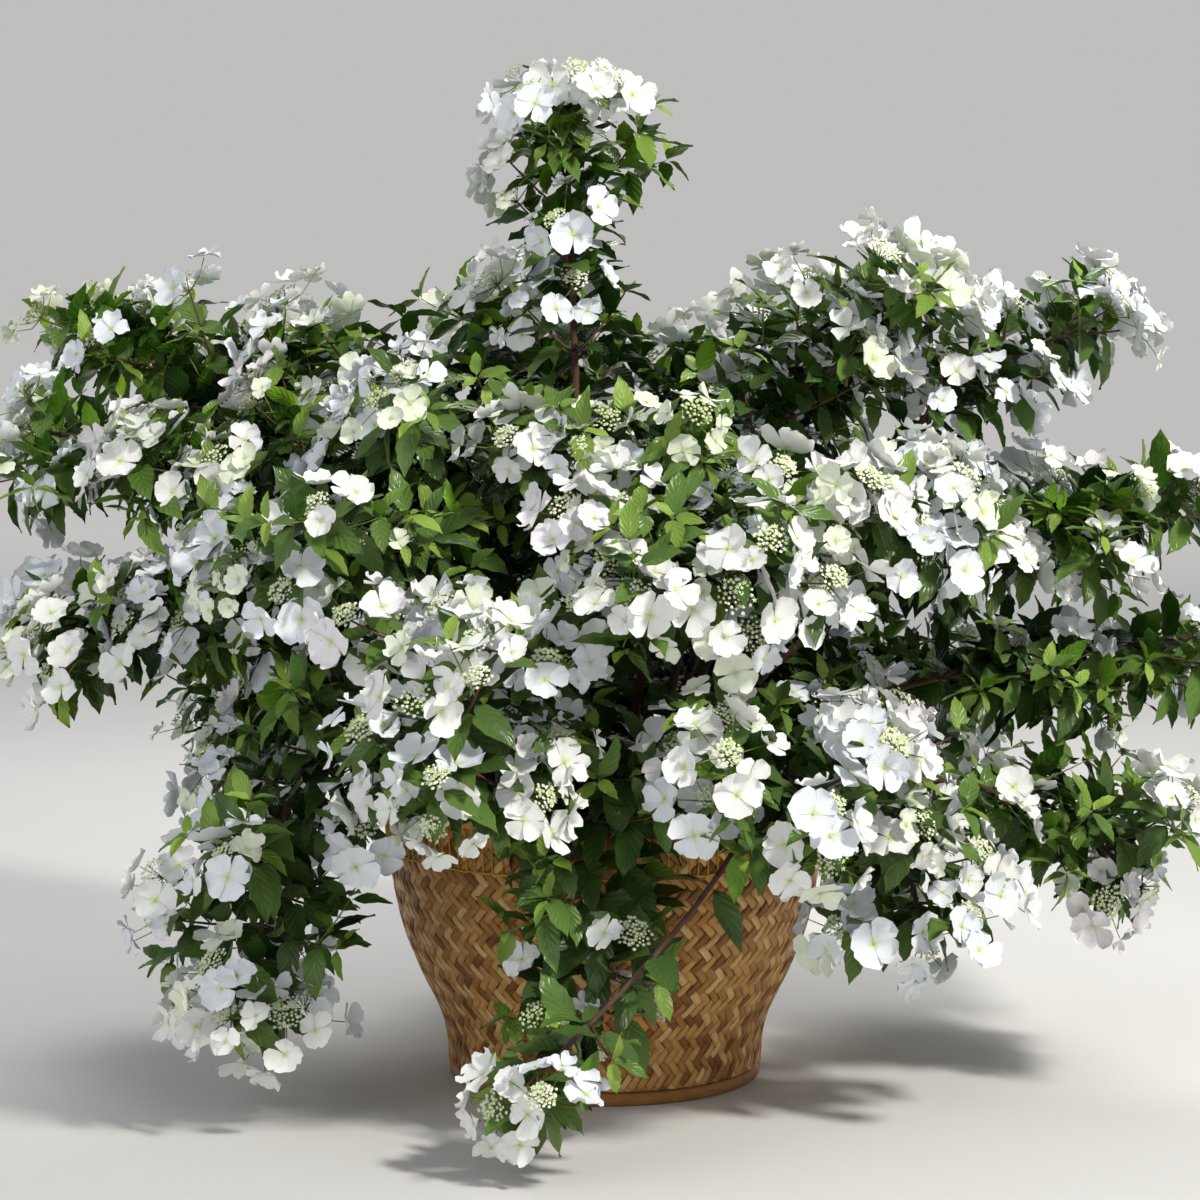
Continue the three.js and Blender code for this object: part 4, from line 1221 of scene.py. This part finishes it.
class Head:
    """Where a flower head stands and looks, and its age."""

    def __init__(self, at, face, seed, ring_open):
        self.draw = np.random.default_rng(seed)
        self.at, self.face, self.ring_open = at, face, ring_open
        self.side = square_to(face, np.array([0.3, 0.8, 0.2]), self.draw.uniform(0, 6))
        self.other = np.cross(face, self.side)
        self.age = self.draw.uniform()

    def round_about(self, turn):
        """The way across the head at one turn or several."""
        return np.multiply.outer(np.cos(turn), self.side) + np.multiply.outer(np.sin(turn), self.other)


def make_tuft(head):
    """A low dome of buds, some of them open as stars, on forked stalks."""
    draw, at = head.draw, head.at
    dome, rise = draw.uniform(*DOME_RADIUS), draw.uniform(*DOME_RISE)
    count = int(draw.integers(*BUD_COUNT))
    off_middle = np.sqrt((np.arange(count) + 0.5) / count)
    turn = np.arange(count) * BUD_TURN + draw.uniform(0, 6)
    out = head.round_about(turn) * (off_middle * dome * draw.uniform(0.85, 1.15, count))[:, None]
    up = np.multiply.outer(rise - DOME_FALL * off_middle ** 2 + draw.normal(0, 1.1, count), head.face)
    places = at + out + up
    for k in range(0, count, STALK_EVERY):
        add_tube(stalks, [at, at + 0.42 * out[k] + 0.45 * up[k], places[k]], [0.6, 0.4, 0.3], 3)
    young = head.age < GREEN_UNTIL
    opened = draw.uniform(size=count) < (0 if young else STAR_SHARE)
    for place, is_open in zip(places, opened):
        size = draw.uniform(*STAR_SIZE if is_open else BUD_SIZE)
        small["star" if is_open else "green" if young else "cream"].append((place, head.face, size))


# %% Its ring of large florets
FLORET_COUNT, FEW_FLORETS, FEW_UNTIL = (5, 8), (2, 5), 0.08
FLORET_SIZE, YOUNG_SIZE, FLORET_OUT, FLORET_UP = (15, 25), (11, 17), (24, 44), (-2, 18)
FLORET_LEAN, EYE_SIZE = (0.5, 1.1), 0.075
CREAM_UNTIL, CREAM_CHANCE, IVORY_FROM, BLUSH_FROM = 0.14, 0.08, 0.5, 0.86
FLORET_KINDS = 10
draw = np.random.default_rng(17)
floret_shapes = [floret_shape(draw) for _ in range(FLORET_KINDS)]
florets = {tone: [[] for _ in floret_shapes] for tone in PETAL_TONES}


def make_ring(head):
    """Florets hang outwards round the tuft, a little lower than its buds."""
    draw, at, age = head.draw, head.at, head.age
    number = int(draw.integers(*FLORET_COUNT if age > FEW_UNTIL else FEW_FLORETS))
    number = round(number * head.ring_open)
    first = draw.uniform(0, 6)
    for k in range(number):
        radial = head.round_about(first + k * 2 * math.pi / number + draw.uniform(-0.3, 0.3))
        ring = draw.uniform(*FLORET_OUT)
        size = draw.uniform(*FLORET_SIZE if age > GREEN_UNTIL else YOUNG_SIZE)
        place = at + radial * ring + head.face * draw.uniform(*FLORET_UP)
        look = unit(head.face + draw.uniform(*FLORET_LEAN) * radial + draw.normal(0, 0.28, 3))
        if in_reach(place + 0.8 * size * np.array([radial, -UP, UP])):
            tone = "blush" if age > BLUSH_FROM else "ivory" if age > IVORY_FROM else "white"
            if age < CREAM_UNTIL or draw.uniform() < CREAM_CHANCE:
                tone = "cream"
            florets[tone][draw.integers(FLORET_KINDS)].append((place, look, radial, size))
            bend = at + radial * ring * 0.5 + head.face * 2
            add_tube(stalks, [at, bend, place - look * 1.5], [0.8, 0.6, 0.5], 3)
            small["eye"].append((place + look * 1.2, look, size * EYE_SIZE))


for noted in growth["heads"]:
    head = Head(*noted)
    make_tuft(head)
    make_ring(head)
print("florets:", {tone: sum(map(len, kinds)) for tone, kinds in florets.items()})

# %% Petals
for tone, kinds in florets.items():
    heap = Heap()
    for shape, chosen in zip(floret_shapes, kinds):
        if chosen:
            places, looks, radials, sizes = map(np.array, zip(*chosen))
            x = unit(radials - looks * (radials * looks).sum(axis=1)[:, None])
            heap.stamp(shape, places, axes_of(x, looks), sizes)
    joined(f"petals_{tone}", heap, PETAL_TONES[tone])

# %% Buds, stars, eyes and green twigs
def stamp_small(shape, items):
    heap = Heap()
    places, looks, sizes = map(np.array, zip(*items))
    x = unit(np.cross(looks, np.array([0.2, 0.3, 0.93])))
    heap.stamp(shape, places, axes_of(x, looks), sizes)
    return heap


joined("buds_cream", stamp_small(bead(), small["cream"]), cream_buds)
joined("buds_green", stamp_small(bead(), small["green"]), green_buds)
joined("open_stars", stamp_small(star_shape(), small["star"]), PETAL_TONES["white"], smooth=False)
joined("floret_eyes", stamp_small(bead(0.5), small["eye"]), green_buds)
joined("green_twigs", stalks, twig_green)
